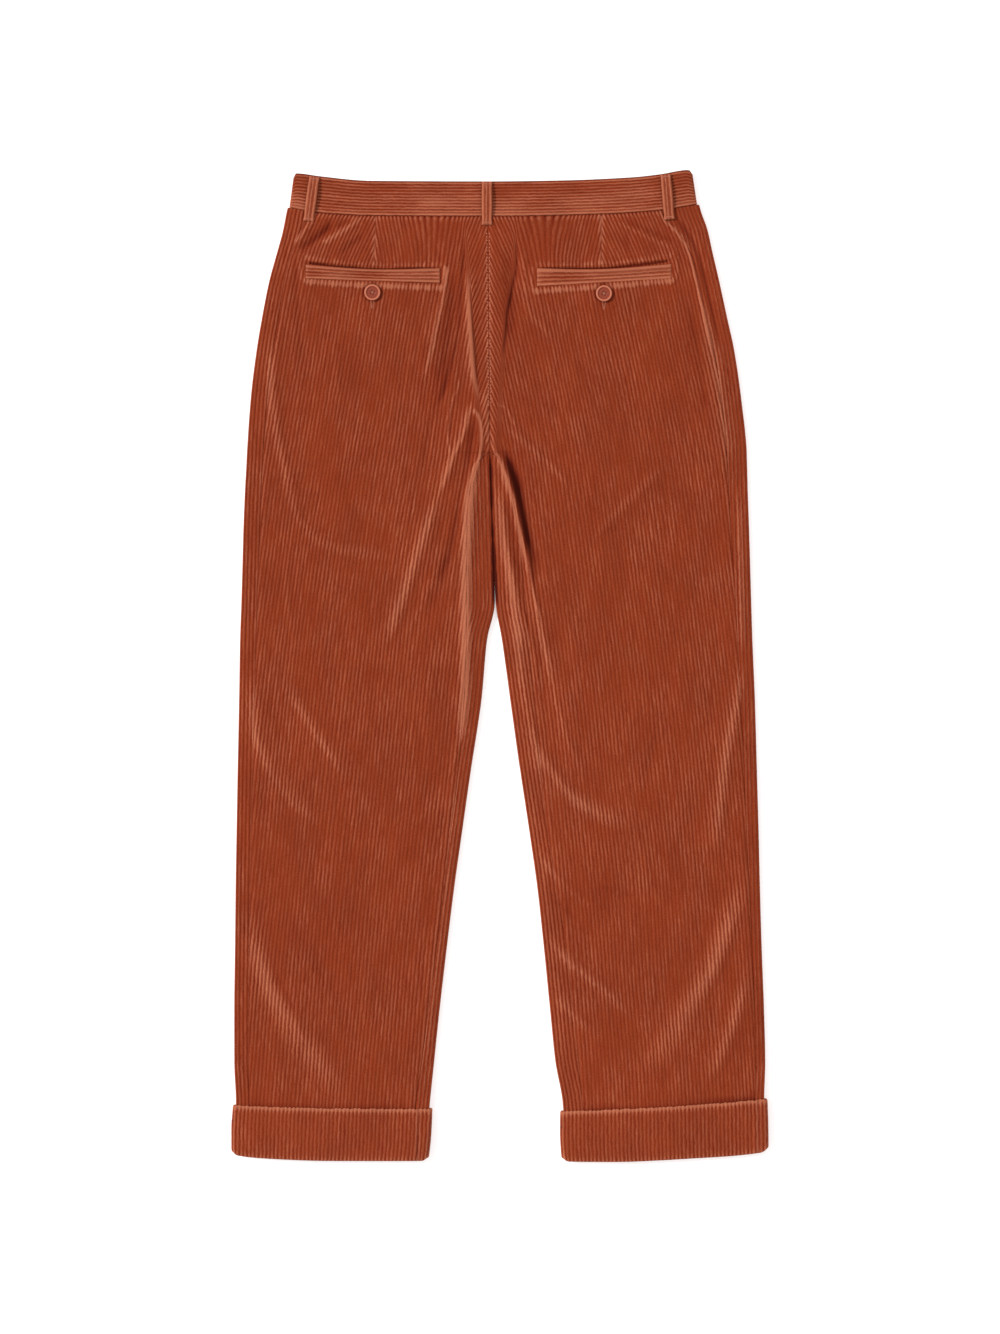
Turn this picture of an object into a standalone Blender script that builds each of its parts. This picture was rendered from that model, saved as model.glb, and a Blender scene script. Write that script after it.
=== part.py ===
"""Corduroy trousers laid flat on their front, with the back uppermost.

The wearer's left side is at -X, the waist is at +Y and the cloth rests on Z = 0.
Every size below is in millimetres and becomes metres when a mesh is made.
"""

import math
from typing import NamedTuple

import bpy
import numpy as np

MM = 0.001

# Cloth and layers.
CLOTH = 1.9
BAND_CLOTH = 2.6
LOOP_CLOTH = 1.5
WELT_CLOTH = 1.7
SEAM_GAP = 0.36
REST_GAP = 0.45
LEG_FULLNESS = 2.0
LEAST_RISE = 0.8
TROUGH_DEPTH = 1.5

# Heights between which the panels' rows bend to follow the waist seam and the hem.
WAIST_BEND_FROM = 330.0
HEM_BEND_FROM = -400.0

# Columns of a back panel: shares up to the main crease, steps beside it, the rest.
CREASE_SHARES = (0.0, 0.35, 0.7)
CREASE_STEPS = (0.0, 4.5, 9.5, 15.0, 22.0)
FAR_COLUMNS = 10

# Waistband: two layers of thick cloth with a slit between them.
BAND_HEIGHT = 6.6
BAND_WALES = 11
BAND_BACK_POINTS = 9
BAND_FRONT_POINTS = 4
WALE_HEIGHT = 0.55
BAND_FRONT_DROP = 3.0

# Turn-ups.
CUFF_HEIGHT = 9.0
CUFF_RETURN = 7.0
CUFF_INNER_GAP = 0.4
CUFF_RELIEF_AT = -450.0
CUFF_BACK_POINTS = 12
CUFF_FRONT_POINTS = 5
HEM_CLEARANCE = 1.2

# Belt loops, pocket welts and buttons.
LOOP_WIDTH = 11.0
LOOP_CROWN = 0.7
WELT_LIP = 1.1
WELT_LIP_FROM = 0.4
WELT_SEWN_END = 0.12
WELT_WALES = 4
WELT_POINTS = 12
BUTTON_RADIUS = 8.2
BUTTON_SIDES = 20

# Share of the fronts' inner edge that lies flat at the centre front.
FLAT_TURN = 12.0
FLAT_WRAP = 1.6

# Share of a fold's length over which it rises or fades, and the turn of a folded edge.
FOLD_FADE = 0.25
HALF_TURN = np.radians((-90, -45, 0, 45, 90))


class LegRow(NamedTuple):
    """The edges and seams of one leg at one height, as distances from the middle."""

    y: float
    outer: float
    side_seam: float
    crease: float
    inseam: float
    inner: float


LEFT_LEG = (
    LegRow(458.5, -211.0, -190.0, -28.0, -12.0, -12.0),
    LegRow(444.5, -214.0, -193.0, -28.0, -12.0, -12.0),
    LegRow(425.5, -218.0, -201.4, -28.0, -11.9, -11.9),
    LegRow(405.5, -224.0, -209.0, -28.0, -11.8, -11.8),
    LegRow(380.5, -231.5, -216.0, -28.0, -11.6, -11.6),
    LegRow(350.5, -238.0, -221.0, -28.0, -11.4, -11.4),
    LegRow(315.5, -244.0, -227.0, -27.0, -11.0, -11.0),
    LegRow(265.5, -250.0, -233.0, -23.0, -10.4, -10.4),
    LegRow(213.5, -253.6, -237.0, -44.0, -10.0, -10.0),
    LegRow(209.6, -253.8, -237.2, -45.5, -16.0, -9.9),
    LegRow(205.5, -254.0, -237.5, -47.0, -19.5, -9.8),
    LegRow(195.5, -254.5, -238.0, -50.5, -25.0, -9.4),
    LegRow(179.5, -255.4, -238.8, -56.4, -29.4, -8.9),
    LegRow(141.5, -257.0, -240.0, -70.2, -33.0, -7.7),
    LegRow(105.5, -258.0, -241.4, -82.4, -33.0, -6.3),
    LegRow(63.5, -259.2, -243.0, -96.0, -33.0, -5.2),
    LegRow(25.5, -260.5, -244.0, -112.0, -33.2, -13.0),
    LegRow(-34.5, -261.5, -245.5, -125.0, -36.0, -18.6),
    LegRow(-108.5, -263.0, -247.5, -135.0, -42.0, -29.6),
    LegRow(-165.5, -264.0, -248.5, -140.0, -49.0, -37.7),
    LegRow(-224.5, -265.0, -250.0, -145.0, -56.0, -46.0),
    LegRow(-274.5, -265.5, -250.5, -150.0, -62.5, -52.2),
    LegRow(-350.5, -266.4, -251.5, -157.0, -72.0, -61.0),
    LegRow(-395.5, -266.3, -251.5, -161.0, -78.0, -65.7),
    LegRow(-439.5, -264.5, -251.0, -166.0, -84.5, -70.2),
    LegRow(-487.0, -265.6, -251.5, -170.0, -89.0, -74.6),
)

RIGHT_LEG = (
    LegRow(458.5, 197.8, 159.0, 8.0, -12.0, -12.0),
    LegRow(444.5, 201.0, 164.0, 8.0, -12.0, -12.0),
    LegRow(425.5, 208.0, 179.0, 8.0, -11.9, -11.9),
    LegRow(405.5, 213.0, 191.0, 8.0, -11.8, -11.8),
    LegRow(380.5, 219.7, 199.0, 7.0, -11.6, -11.6),
    LegRow(350.5, 227.0, 206.0, 6.0, -11.4, -11.4),
    LegRow(315.5, 234.8, 214.5, 6.0, -11.0, -11.0),
    LegRow(265.5, 242.0, 222.0, 6.0, -10.4, -10.4),
    LegRow(213.5, 247.3, 227.0, 6.0, -10.0, -10.0),
    LegRow(209.6, 247.4, 227.2, 7.6, -4.1, -9.9),
    LegRow(205.5, 247.5, 227.5, 10.0, -0.5, -9.8),
    LegRow(195.5, 247.8, 228.0, 15.0, 5.0, -9.4),
    LegRow(179.5, 248.2, 229.0, 20.0, 10.0, -8.9),
    LegRow(141.5, 249.5, 231.0, 29.0, 17.0, -7.7),
    LegRow(105.5, 250.6, 233.0, 36.0, 21.5, -6.3),
    LegRow(63.5, 251.8, 236.0, 47.0, 26.0, -4.4),
    LegRow(25.5, 253.0, 238.0, 56.0, 29.0, 2.0),
    LegRow(-34.5, 255.5, 241.0, 70.0, 34.0, 10.3),
    LegRow(-108.5, 257.6, 244.5, 90.0, 41.0, 20.6),
    LegRow(-165.5, 259.2, 247.0, 105.0, 48.0, 29.2),
    LegRow(-224.5, 260.6, 250.0, 114.0, 57.0, 37.5),
    LegRow(-274.5, 262.0, 252.0, 122.0, 65.0, 43.0),
    LegRow(-350.5, 264.8, 255.0, 134.0, 74.0, 50.6),
    LegRow(-395.5, 265.8, 256.5, 141.0, 78.5, 55.2),
    LegRow(-439.5, 264.6, 255.5, 148.0, 83.0, 62.8),
    LegRow(-487.0, 266.0, 257.0, 152.0, 88.0, 65.2),
)

# Heights at which every panel has a ring of points, from the waist seam to the hem.
PANEL_HEIGHTS = (
    449.5, 437.0, 425.0, 412.0, 399.0, 385.0, 369.0, 351.0, 332.0, 312.0, 291.0,
    270.0, 250.0, 231.0, 214.0, 212.6, 211.2, 209.6, 203.5, 194.0, 181.0, 164.0, 144.0,
    122.0, 98.0, 72.0, 48.0, 24.0, 0.0, -25.0, -50.0, -74.0, -98.0, -122.0, -147.0,
    -174.0, -202.0, -229.0, -256.0, -283.0, -310.0, -337.0, -364.0, -391.0, -414.0,
    -430.0, -442.0, -486.0,
)


class Level(NamedTuple):
    """How high the outer faces of the two leg layers lie at one height of the leg."""

    y: float
    under: float
    over: float


LEVELS = (
    Level(500.0, 0.0, 5.2),
    Level(-360.0, 0.0, 5.2),
    Level(-400.0, 0.7, 5.6),
    Level(-436.0, 2.35, 6.6),
    Level(-500.0, 2.4, 6.6),
)


class Turn(NamedTuple):
    """How far a front's inner edge turns up round the inner fold near the crotch."""

    y: float
    angle: float
    wrap: float


CROTCH_TURNS = (
    Turn(214.0, FLAT_TURN, FLAT_WRAP),
    Turn(212.6, 45.0, 1.0),
    Turn(211.2, 105.0, 0.6),
)


class Fold(NamedTuple):
    """A soft ridge, or a trough where its height is negative, along three points."""

    x0: float
    y0: float
    x1: float
    y1: float
    x2: float
    y2: float
    height: float
    width: float


FOLDS = (
    # Seat, left of the centre back seam.
    Fold(-28.0, 410.0, -29.0, 335.0, -25.0, 262.0, 2.3, 6.0),
    Fold(-42.0, 400.0, -47.0, 345.0, -63.0, 262.0, -1.6, 7.0),
    Fold(-53.0, 430.0, -58.0, 364.0, -76.0, 303.0, 0.8, 6.0),
    Fold(-23.0, 268.0, -46.0, 208.0, -60.0, 169.0, 2.0, 6.5),
    Fold(-54.0, 185.0, -75.0, 127.0, -118.0, 10.0, 1.7, 9.0),
    # Seat, over and right of the centre back seam.
    Fold(-2.0, 440.0, -5.0, 345.0, -10.0, 245.0, 1.0, 15.0),
    Fold(7.0, 430.0, 12.0, 370.0, 14.0, 300.0, -1.5, 8.0),
    Fold(23.0, 392.0, 43.0, 349.0, 76.0, 318.0, 0.8, 7.0),
    # The deep crease from the crotch across the right leg.
    Fold(-3.0, 222.0, 13.0, 173.0, 34.0, 85.0, 3.6, 5.0),
    Fold(27.0, 108.0, 43.0, 30.0, 84.0, -100.0, 1.5, 7.5),
    Fold(8.0, 210.0, 23.0, 168.0, 42.0, 75.0, -1.9, 6.5),
    # Along the inseams.
    Fold(-30.0, 214.0, -33.0, 110.0, -36.0, -40.0, 0.9, 6.0),
    Fold(0.0, 190.0, 6.0, 118.0, 36.0, 0.0, 1.1, 5.5),
    # Hips.
    Fold(-226.0, 350.0, -224.0, 235.0, -195.0, 148.0, 0.8, 8.0),
    Fold(200.0, 345.0, 212.0, 288.0, 221.0, 190.0, 0.8, 8.0),
    Fold(-124.0, 448.0, -160.0, 426.0, -200.0, 400.0, 0.8, 8.0),
    Fold(178.0, 210.0, 139.0, 172.0, 95.0, 134.0, 0.7, 10.0),
    # Drag folds across the left leg.
    Fold(-245.0, 5.0, -236.0, -80.0, -170.0, -170.0, 1.1, 10.0),
    Fold(-222.0, 0.0, -189.0, -55.0, -145.0, -116.0, 1.0, 9.0),
    Fold(-252.0, -235.0, -226.0, -325.0, -150.0, -428.0, 1.6, 11.0),
    Fold(-216.0, -230.0, -179.0, -303.0, -135.0, -380.0, -0.9, 10.0),
    # Drag folds across the right leg.
    Fold(24.0, -70.0, 60.0, -124.0, 152.0, -168.0, 1.6, 9.5),
    Fold(241.0, 5.0, 228.0, -80.0, 204.0, -218.0, 1.1, 10.0),
    Fold(250.0, -200.0, 213.0, -305.0, 126.0, -432.0, 1.7, 11.0),
    Fold(252.0, -306.0, 227.0, -372.0, 202.0, -426.0, 1.1, 9.0),
    Fold(54.0, -276.0, 92.0, -316.0, 128.0, -352.0, 1.0, 9.0),
    Fold(50.0, -198.0, 84.0, -236.0, 134.0, -246.0, -0.9, 9.0),
)


class EdgePoint(NamedTuple):
    """One point of a sewn or folded edge that runs across the garment."""

    x: float
    y: float


BAND_TOP = (
    EdgePoint(-207.0, 489.0),
    EdgePoint(-204.0, 492.5),
    EdgePoint(-197.0, 492.0),
    EdgePoint(-182.0, 489.8),
    EdgePoint(-128.0, 485.0),
    EdgePoint(-10.0, 484.5),
    EdgePoint(66.0, 485.5),
    EdgePoint(132.0, 488.5),
    EdgePoint(160.0, 491.5),
    EdgePoint(182.0, 495.4),
    EdgePoint(188.5, 496.0),
    EdgePoint(193.0, 492.5),
)
WAIST_SEAM = (
    EdgePoint(-211.0, 458.5),
    EdgePoint(-184.0, 453.5),
    EdgePoint(-128.0, 450.2),
    EdgePoint(-10.0, 449.6),
    EdgePoint(105.0, 451.9),
    EdgePoint(159.0, 455.5),
    EdgePoint(197.5, 461.6),
)
LEFT_CUFF_TOP = (
    EdgePoint(-268.0, -439.9),
    EdgePoint(-170.0, -442.6),
    EdgePoint(-67.0, -443.4),
)
LEFT_HEM = (
    EdgePoint(-269.0, -486.5),
    EdgePoint(-262.0, -490.5),
    EdgePoint(-229.0, -493.4),
    EdgePoint(-170.0, -495.4),
    EdgePoint(-79.0, -495.6),
    EdgePoint(-72.0, -493.0),
)
RIGHT_CUFF_TOP = (
    EdgePoint(59.5, -446.0),
    EdgePoint(160.0, -441.5),
    EdgePoint(268.0, -433.6),
)
RIGHT_HEM = (
    EdgePoint(62.0, -493.5),
    EdgePoint(69.0, -496.4),
    EdgePoint(109.0, -496.5),
    EdgePoint(198.6, -492.6),
    EdgePoint(260.0, -487.5),
    EdgePoint(269.0, -483.0),
)


class CuffSide(NamedTuple):
    """Where the two sides of a turn-up stand at one height."""

    y: float
    left: float
    right: float


LEFT_CUFF_SIDES = (
    CuffSide(-439.0, -267.2, -67.4),
    CuffSide(-470.0, -269.0, -68.8),
    CuffSide(-496.0, -269.0, -71.6),
)
RIGHT_CUFF_SIDES = (
    CuffSide(-432.0, 60.2, 267.4),
    CuffSide(-465.0, 60.0, 268.6),
    CuffSide(-497.0, 61.8, 269.0),
)


class Loop(NamedTuple):
    """A belt loop's centre line, from the top of the band to below the waist seam."""

    name: str
    top_x: float
    top_y: float
    end_x: float
    end_y: float


LOOPS = (
    Loop("belt_loop_left", -185.5, 489.0, -191.5, 444.3),
    Loop("belt_loop_back", -13.0, 484.2, -13.0, 440.5),
    Loop("belt_loop_right", 165.5, 491.2, 169.5, 446.0),
)


class LoopPoint(NamedTuple):
    """One point across a belt loop, as shares of its width and of its crown."""

    across: float
    crown: float


LOOP_PROFILE = (
    LoopPoint(-0.5, -0.6),
    LoopPoint(-0.4, 0.6),
    LoopPoint(-0.22, 1.0),
    LoopPoint(0.0, 0.2),
    LoopPoint(0.22, 1.0),
    LoopPoint(0.4, 0.6),
    LoopPoint(0.5, -0.6),
)

# How far a loop stands off the band near its top, at its middle and near the seam.
LOOP_LIFT = 0.9
LOOP_MIDDLE_LIFT = 1.2


class Welt(NamedTuple):
    """A back pocket's welt: its four corners and how far its upper edge sags."""

    name: str
    left: float
    right: float
    left_top: float
    right_top: float
    left_end: float
    right_end: float
    sag: float


WELTS = (
    Welt("pocket_welt_left", -194.5, -60.0, 401.0, 397.5, 386.8, 382.4, 3.0),
    Welt("pocket_welt_right", 36.8, 171.5, 397.3, 401.6, 379.0, 386.8, 3.0),
)


class Button(NamedTuple):
    """Where a pocket button's middle lies."""

    name: str
    x: float
    y: float


BUTTONS = (
    Button("pocket_button_left", -127.6, 373.0),
    Button("pocket_button_right", 104.0, 372.0),
)


class RimPoint(NamedTuple):
    """One ring of a turned button: a share of its radius and its height."""

    reach: float
    height: float


BUTTON_PROFILE = (
    RimPoint(0.80, 0.0),
    RimPoint(1.0, 0.9),
    RimPoint(1.0, 1.9),
    RimPoint(0.90, 2.7),
    RimPoint(0.76, 2.6),
    RimPoint(0.66, 1.9),
    RimPoint(0.40, 1.8),
)


class Finish(NamedTuple):
    """The plain look of one material."""

    slot: str
    colour: tuple
    roughness: float


CORDUROY = Finish("corduroy", (0.31, 0.072, 0.027), 0.92)
BUTTON_RESIN = Finish("button", (0.36, 0.10, 0.05), 0.45)


def smooth_between(places, values, at):
    """Values at the given places, on a curve that never overshoots its rows."""
    order = np.argsort(places)
    x = np.asarray(places, float)[order]
    v = np.asarray(values, float)[order]
    at = np.clip(np.asarray(at, float), x[0], x[-1])
    step = np.diff(x)
    rise = np.diff(v) / step
    slope = np.zeros(len(x))
    slope[0] = rise[0]
    slope[-1] = rise[-1]
    same_way = rise[:-1] * rise[1:] > 0
    mean = 2 * rise[:-1] * rise[1:] / np.where(same_way, rise[:-1] + rise[1:], 1.0)
    slope[1:-1] = np.where(same_way, mean, 0.0)
    i = np.clip(np.searchsorted(x, at) - 1, 0, len(step) - 1)
    t = (at - x[i]) / step[i]
    start = v[i] * (1 + 2 * t) * (1 - t) ** 2 + v[i + 1] * t * t * (3 - 2 * t)
    bend = slope[i] * t * (1 - t) ** 2 - slope[i + 1] * t * t * (1 - t)
    return start + bend * step[i]


def column(rows, name, y):
    """One column of a table by height, at the height y."""
    return float(smooth_between([row.y for row in rows], [getattr(row, name) for row in rows], y))


def edge_height(edge, x):
    """The height of an edge that runs across the garment, at the distance x."""
    return float(smooth_between([point.x for point in edge], [point.y for point in edge], x))


def ease(share):
    """0 to 1 with level ends."""
    share = min(max(share, 0.0), 1.0)
    return share * share * (3 - 2 * share)


def fold_rise(fold, x, y):
    """How far one fold lifts the cloth at a point."""
    corners = ((fold.x0, fold.y0), (fold.x1, fold.y1), (fold.x2, fold.y2))
    lengths = [math.dist(a, b) for a, b in zip(corners, corners[1:])]
    total = sum(lengths)
    nearest = None
    passed = 0.0
    for (ax, ay), (bx, by), length in zip(corners, corners[1:], lengths):
        share = ((x - ax) * (bx - ax) + (y - ay) * (by - ay)) / length**2
        share = min(max(share, 0.0), 1.0)
        away = math.hypot(x - ax - share * (bx - ax), y - ay - share * (by - ay))
        if nearest is None or away < nearest[0]:
            nearest = (away, (passed + share * length) / total)
        passed += length
    away, along = nearest
    fade = ease(along / FOLD_FADE) * ease((1 - along) / FOLD_FADE)
    return fold.height * fade * math.exp(-((away / fold.width) ** 2))


def relief(leg, x, y):
    """How far the upper layer stands above its level at the leg's edges."""
    outer = column(leg, "outer", y)
    inner = column(leg, "inner", y)
    share = min(max((x - inner) / (outer - inner), 0.0), 1.0)
    full = 1 - (2 * share - 1) ** 4
    if y > CROTCH_TURNS[0].y and share < 0.5:
        full = 1.0
    folds = sum(fold_rise(fold, x, y) for fold in FOLDS)
    deepest = LEAST_RISE - TROUGH_DEPTH - LEG_FULLNESS * full
    return LEG_FULLNESS * full + max(folds, deepest)


def panel_top(leg, x, y):
    """The outer face of the upper layer."""
    return column(LEVELS, "over", y) + relief(leg, x, y)


def front_share(z, height, wall):
    """1 in the lower layer, 0 in the upper one and between them on the folds."""
    return min(max((height - wall - z) / (height - 2 * wall), 0.0), 1.0)


def waist_height(x, front):
    """The waist seam's height: curved across the back, straight on each front."""
    side = WAIST_SEAM[0] if x < LEFT_LEG[0].inner else WAIST_SEAM[-1]
    share = (x - LEFT_LEG[0].inner) / (side.x - LEFT_LEG[0].inner)
    middle = edge_height(WAIST_SEAM, LEFT_LEG[0].inner)
    straight = middle + share * (side.y - middle)
    return straight * front + edge_height(WAIST_SEAM, x) * (1 - front)


def sewn_height(x, y, front=0.0):
    """A panel's nominal height moved to follow the waist seam and the hem."""
    at_waist = ease((y - WAIST_BEND_FROM) / (PANEL_HEIGHTS[0] - WAIST_BEND_FROM))
    moved = y + at_waist * (waist_height(x, front) - SEAM_GAP / 2 - PANEL_HEIGHTS[0])
    hem = LEFT_HEM if x < 0 else RIGHT_HEM
    at_hem = ease((HEM_BEND_FROM - y) / (HEM_BEND_FROM - PANEL_HEIGHTS[-1]))
    foot = edge_height(hem, x) + CUFF_RETURN + HEM_CLEARANCE
    return moved + at_hem * (foot - PANEL_HEIGHTS[-1])


def wall_mesh(name, outer, inner):
    """One closed wall between two grids of points that share their rows and columns."""
    outer = np.asarray(outer, float)
    inner = np.asarray(inner, float)
    rows, columns = outer.shape[:2]
    count = rows * columns
    number = np.arange(count).reshape(rows, columns)
    faces = []
    for r in range(rows - 1):
        for c in range(columns - 1):
            quad = (number[r, c], number[r, c + 1], number[r + 1, c + 1], number[r + 1, c])
            faces.append(quad)
            faces.append(tuple(count + corner for corner in reversed(quad)))
    rim = list(number[0, :]) + list(number[1:, -1])
    rim += list(number[-1, -2::-1]) + list(number[-2:0:-1, 0])
    for a, b in zip(rim, rim[1:] + rim[:1]):
        faces.append((b, a, count + a, count + b))
    points = np.concatenate([outer.reshape(-1, 3), inner.reshape(-1, 3)])
    return solid_object(name, points, faces)


def ring_mesh(name, rings):
    """One closed solid from rings of points, joined in a ring themselves."""
    rings = np.asarray(rings, float)
    rows, columns = rings.shape[:2]
    number = np.arange(rows * columns).reshape(rows, columns)
    after = np.roll(number, -1, axis=0)
    beside = np.roll(number, -1, axis=1)
    across = np.roll(after, -1, axis=1)
    quads = np.stack([number, beside, across, after], axis=-1).reshape(-1, 4)
    return solid_object(name, rings.reshape(-1, 3), [tuple(quad) for quad in quads])


def solid_object(name, points, faces):
    """A smooth shaded object whose faces point outward."""
    corners = np.asarray(points, float)
    volume = 0.0
    for face in faces:
        a = corners[face[0]]
        for b, c in zip(face[1:], face[2:]):
            volume += np.dot(a, np.cross(corners[b], corners[c]))
    if volume < 0:
        faces = [tuple(reversed(face)) for face in faces]
    mesh = bpy.data.meshes.new(name)
    clean = [tuple(int(corner) for corner in face) for face in faces]
    mesh.from_pydata([tuple(MM * point) for point in corners], [], clean)
    mesh.shade_smooth()
    solid = bpy.data.objects.new(name, mesh)
    bpy.context.scene.collection.objects.link(solid)
    return solid


def material_of(finish):
    """The Principled material of a finish, made once."""
    found = bpy.data.materials.get(finish.slot)
    if found:
        return found
    material = bpy.data.materials.new(finish.slot)
    material.use_nodes = True
    shader = material.node_tree.nodes["Principled BSDF"]
    shader.inputs["Base Color"].default_value = (*finish.colour, 1.0)
    shader.inputs["Roughness"].default_value = finish.roughness
    shader.inputs["Metallic"].default_value = 0.0
    material.diffuse_color = (*finish.colour, 1.0)
    return material


def dress(solid, finish):
    """Gives a solid its material."""
    solid.data.materials.append(material_of(finish))


def across_back(leg, y):
    """The distances of a back panel's columns, which gather beside its main crease."""
    half_gap = SEAM_GAP / 2
    side = 1.0 if leg is RIGHT_LEG else -1.0
    if y > CROTCH_TURNS[0].y - 1.0:
        start = column(leg, "inner", y) + side * half_gap
    else:
        start = column(leg, "inseam", y) + side * half_gap
    crease = column(leg, "crease", y)
    end = column(leg, "side_seam", y) - side * half_gap
    near = [start + share * (crease - start) for share in CREASE_SHARES]
    beside = [crease + side * step for step in CREASE_STEPS]
    far = [beside[-1] + share * (end - beside[-1]) for share in np.linspace(0.0, 1.0, FAR_COLUMNS)[1:]]
    return near + beside + far


def back_panel(name, leg):
    """One back from its centre seam and inseam to its side seam."""
    outer = []
    inner = []
    for nominal in PANEL_HEIGHTS:
        ring_out = []
        ring_in = []
        for x in across_back(leg, nominal):
            y = sewn_height(x, nominal)
            top = panel_top(leg, x, nominal)
            ring_out.append((x, y, top))
            ring_in.append((x, y, top - CLOTH))
        outer.append(ring_out)
        inner.append(ring_in)
    panel = wall_mesh(name, outer, inner)
    dress(panel, CORDUROY)


def fold_points(side, edge, under, over, lift, angles, depth):
    """Points round a folded edge, the depth being how far inside the outer face."""
    radius = (over - under) / 2
    middle_x = edge - side * radius
    middle_z = (over + under) / 2
    points = []
    for angle in angles:
        reach = radius - depth
        rise = lift * (1 + math.sin(angle)) / 2
        points.append((middle_x + side * reach * math.cos(angle), middle_z + reach * math.sin(angle) + rise))
    return points


def inner_edge(leg, y, depth):
    """A front's inner edge as (x, z) points, from its cut edge to the lower layer."""
    side = -1.0 if leg is RIGHT_LEG else 1.0
    under = column(LEVELS, "under", y)
    over = column(LEVELS, "over", y)
    edge = column(leg, "inner", y) - side * SEAM_GAP / 2
    radius = (over - under) / 2
    if y < CROTCH_TURNS[-1].y - 1.0:
        lift = relief(leg, edge, y)
        cut = column(leg, "inseam", y) + side * SEAM_GAP / 2
        turn = edge - side * radius
        points = [(x, over - depth + relief(leg, x, y)) for x in (cut, (cut + turn) / 2)]
        return points + fold_points(side, edge, under, over, lift, HALF_TURN[::-1], depth)
    turn = CROTCH_TURNS[0]
    for row in CROTCH_TURNS:
        if abs(row.y - y) < 1.0:
            turn = row
    angle = math.radians(turn.angle)
    reach = radius
    if turn.angle < 90.0:
        reach = radius * math.sin(angle) + turn.wrap * math.cos(angle)
    middle_x = edge - side * reach
    middle_z = under + radius
    points = []
    for along in (1.0, 0.5):
        x = radius * math.sin(angle) + along * turn.wrap * math.cos(angle) - depth * math.sin(angle)
        z = -radius * math.cos(angle) + along * turn.wrap * math.sin(angle) + depth * math.cos(angle)
        points.append((middle_x + side * x, middle_z + z))
    for share in (1.0, 0.75, 0.5, 0.25, 0.0):
        swept = share * angle
        reach = radius - depth
        points.append((middle_x + side * reach * math.sin(swept), middle_z - reach * math.cos(swept)))
    return points


def front_panel(name, leg):
    """One front, under the leg and round both of its edges up to the back."""
    side = 1.0 if leg is RIGHT_LEG else -1.0
    surfaces = []
    for depth in (0.0, CLOTH):
        rings = []
        for nominal in PANEL_HEIGHTS:
            under = column(LEVELS, "under", nominal)
            over = column(LEVELS, "over", nominal)
            outer = column(leg, "outer", nominal)
            seam = column(leg, "side_seam", nominal) + side * SEAM_GAP / 2
            points = inner_edge(leg, nominal, depth)
            turn = outer - side * (over - under) / 2
            middle = (points[-1][0] + turn) / 2
            points.append((middle, under + depth))
            lift = relief(leg, outer, nominal)
            points += fold_points(side, outer, under, over, lift, HALF_TURN, depth)
            for x in ((seam + turn) / 2, seam):
                points.append((x, over - depth + relief(leg, x, nominal)))
            fronts = [front_share(z - under, over - under, CLOTH) for _, z in points]
            rings.append([(x, sewn_height(x, nominal, f), z) for (x, z), f in zip(points, fronts)])
        surfaces.append(rings)
    panel = wall_mesh(name, *surfaces)
    dress(panel, CORDUROY)


def band_ring(height_share, dip, depth):
    """The waistband's ring of points at one share of its height, from front to front.

    The dip is how far the groove between two wales lies below their crests. The
    lower layer rests flat and has none.
    """
    left = WAIST_SEAM[0].x + height_share * (BAND_TOP[0].x - WAIST_SEAM[0].x)
    right = WAIST_SEAM[-1].x + height_share * (BAND_TOP[-1].x - WAIST_SEAM[-1].x)
    radius = BAND_HEIGHT / 2

    def at(x, z):
        front = front_share(z, BAND_HEIGHT, BAND_CLOTH)
        low = waist_height(x, front) + SEAM_GAP / 2
        high = edge_height(BAND_TOP, x) - BAND_FRONT_DROP * front
        return (x, low + height_share * (high - low), z)

    def folded(angle, edge, side):
        reach = radius - depth - dip * (1 + math.sin(angle)) / 2
        return at(edge - side * (radius - reach * math.cos(angle)), radius + reach * math.sin(angle))

    left_front = np.linspace(LEFT_LEG[0].inner - SEAM_GAP / 2, left + radius, BAND_FRONT_POINTS)
    across = np.linspace(left + radius, right - radius, BAND_BACK_POINTS)
    right_front = np.linspace(right - radius, RIGHT_LEG[0].inner + SEAM_GAP / 2, BAND_FRONT_POINTS)
    ring = [at(x, depth) for x in left_front[:-1]]
    ring += [folded(angle, left, -1.0) for angle in HALF_TURN]
    ring += [at(x, BAND_HEIGHT - depth - dip) for x in across[1:-1]]
    ring += [folded(angle, right, 1.0) for angle in HALF_TURN[::-1]]
    ring += [at(x, depth) for x in right_front[1:]]
    return ring


def waistband():
    """The waistband, round the waist and open at the centre front, with its wales."""
    outer = []
    inner = []
    for row, share in enumerate(np.linspace(0.0, 1.0, 2 * BAND_WALES + 1)):
        dip = 0.0 if row % 2 else WALE_HEIGHT
        outer.append(band_ring(share, dip, 0.0))
        inner.append(band_ring(share, 0.0, BAND_CLOTH))
    band = wall_mesh("waistband", outer, inner)
    dress(band, CORDUROY)


class CuffStep(NamedTuple):
    """One ring of a turn-up: the edge it follows, how far above it and how deep."""

    anchor: str
    rise: float
    depth: float


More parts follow.
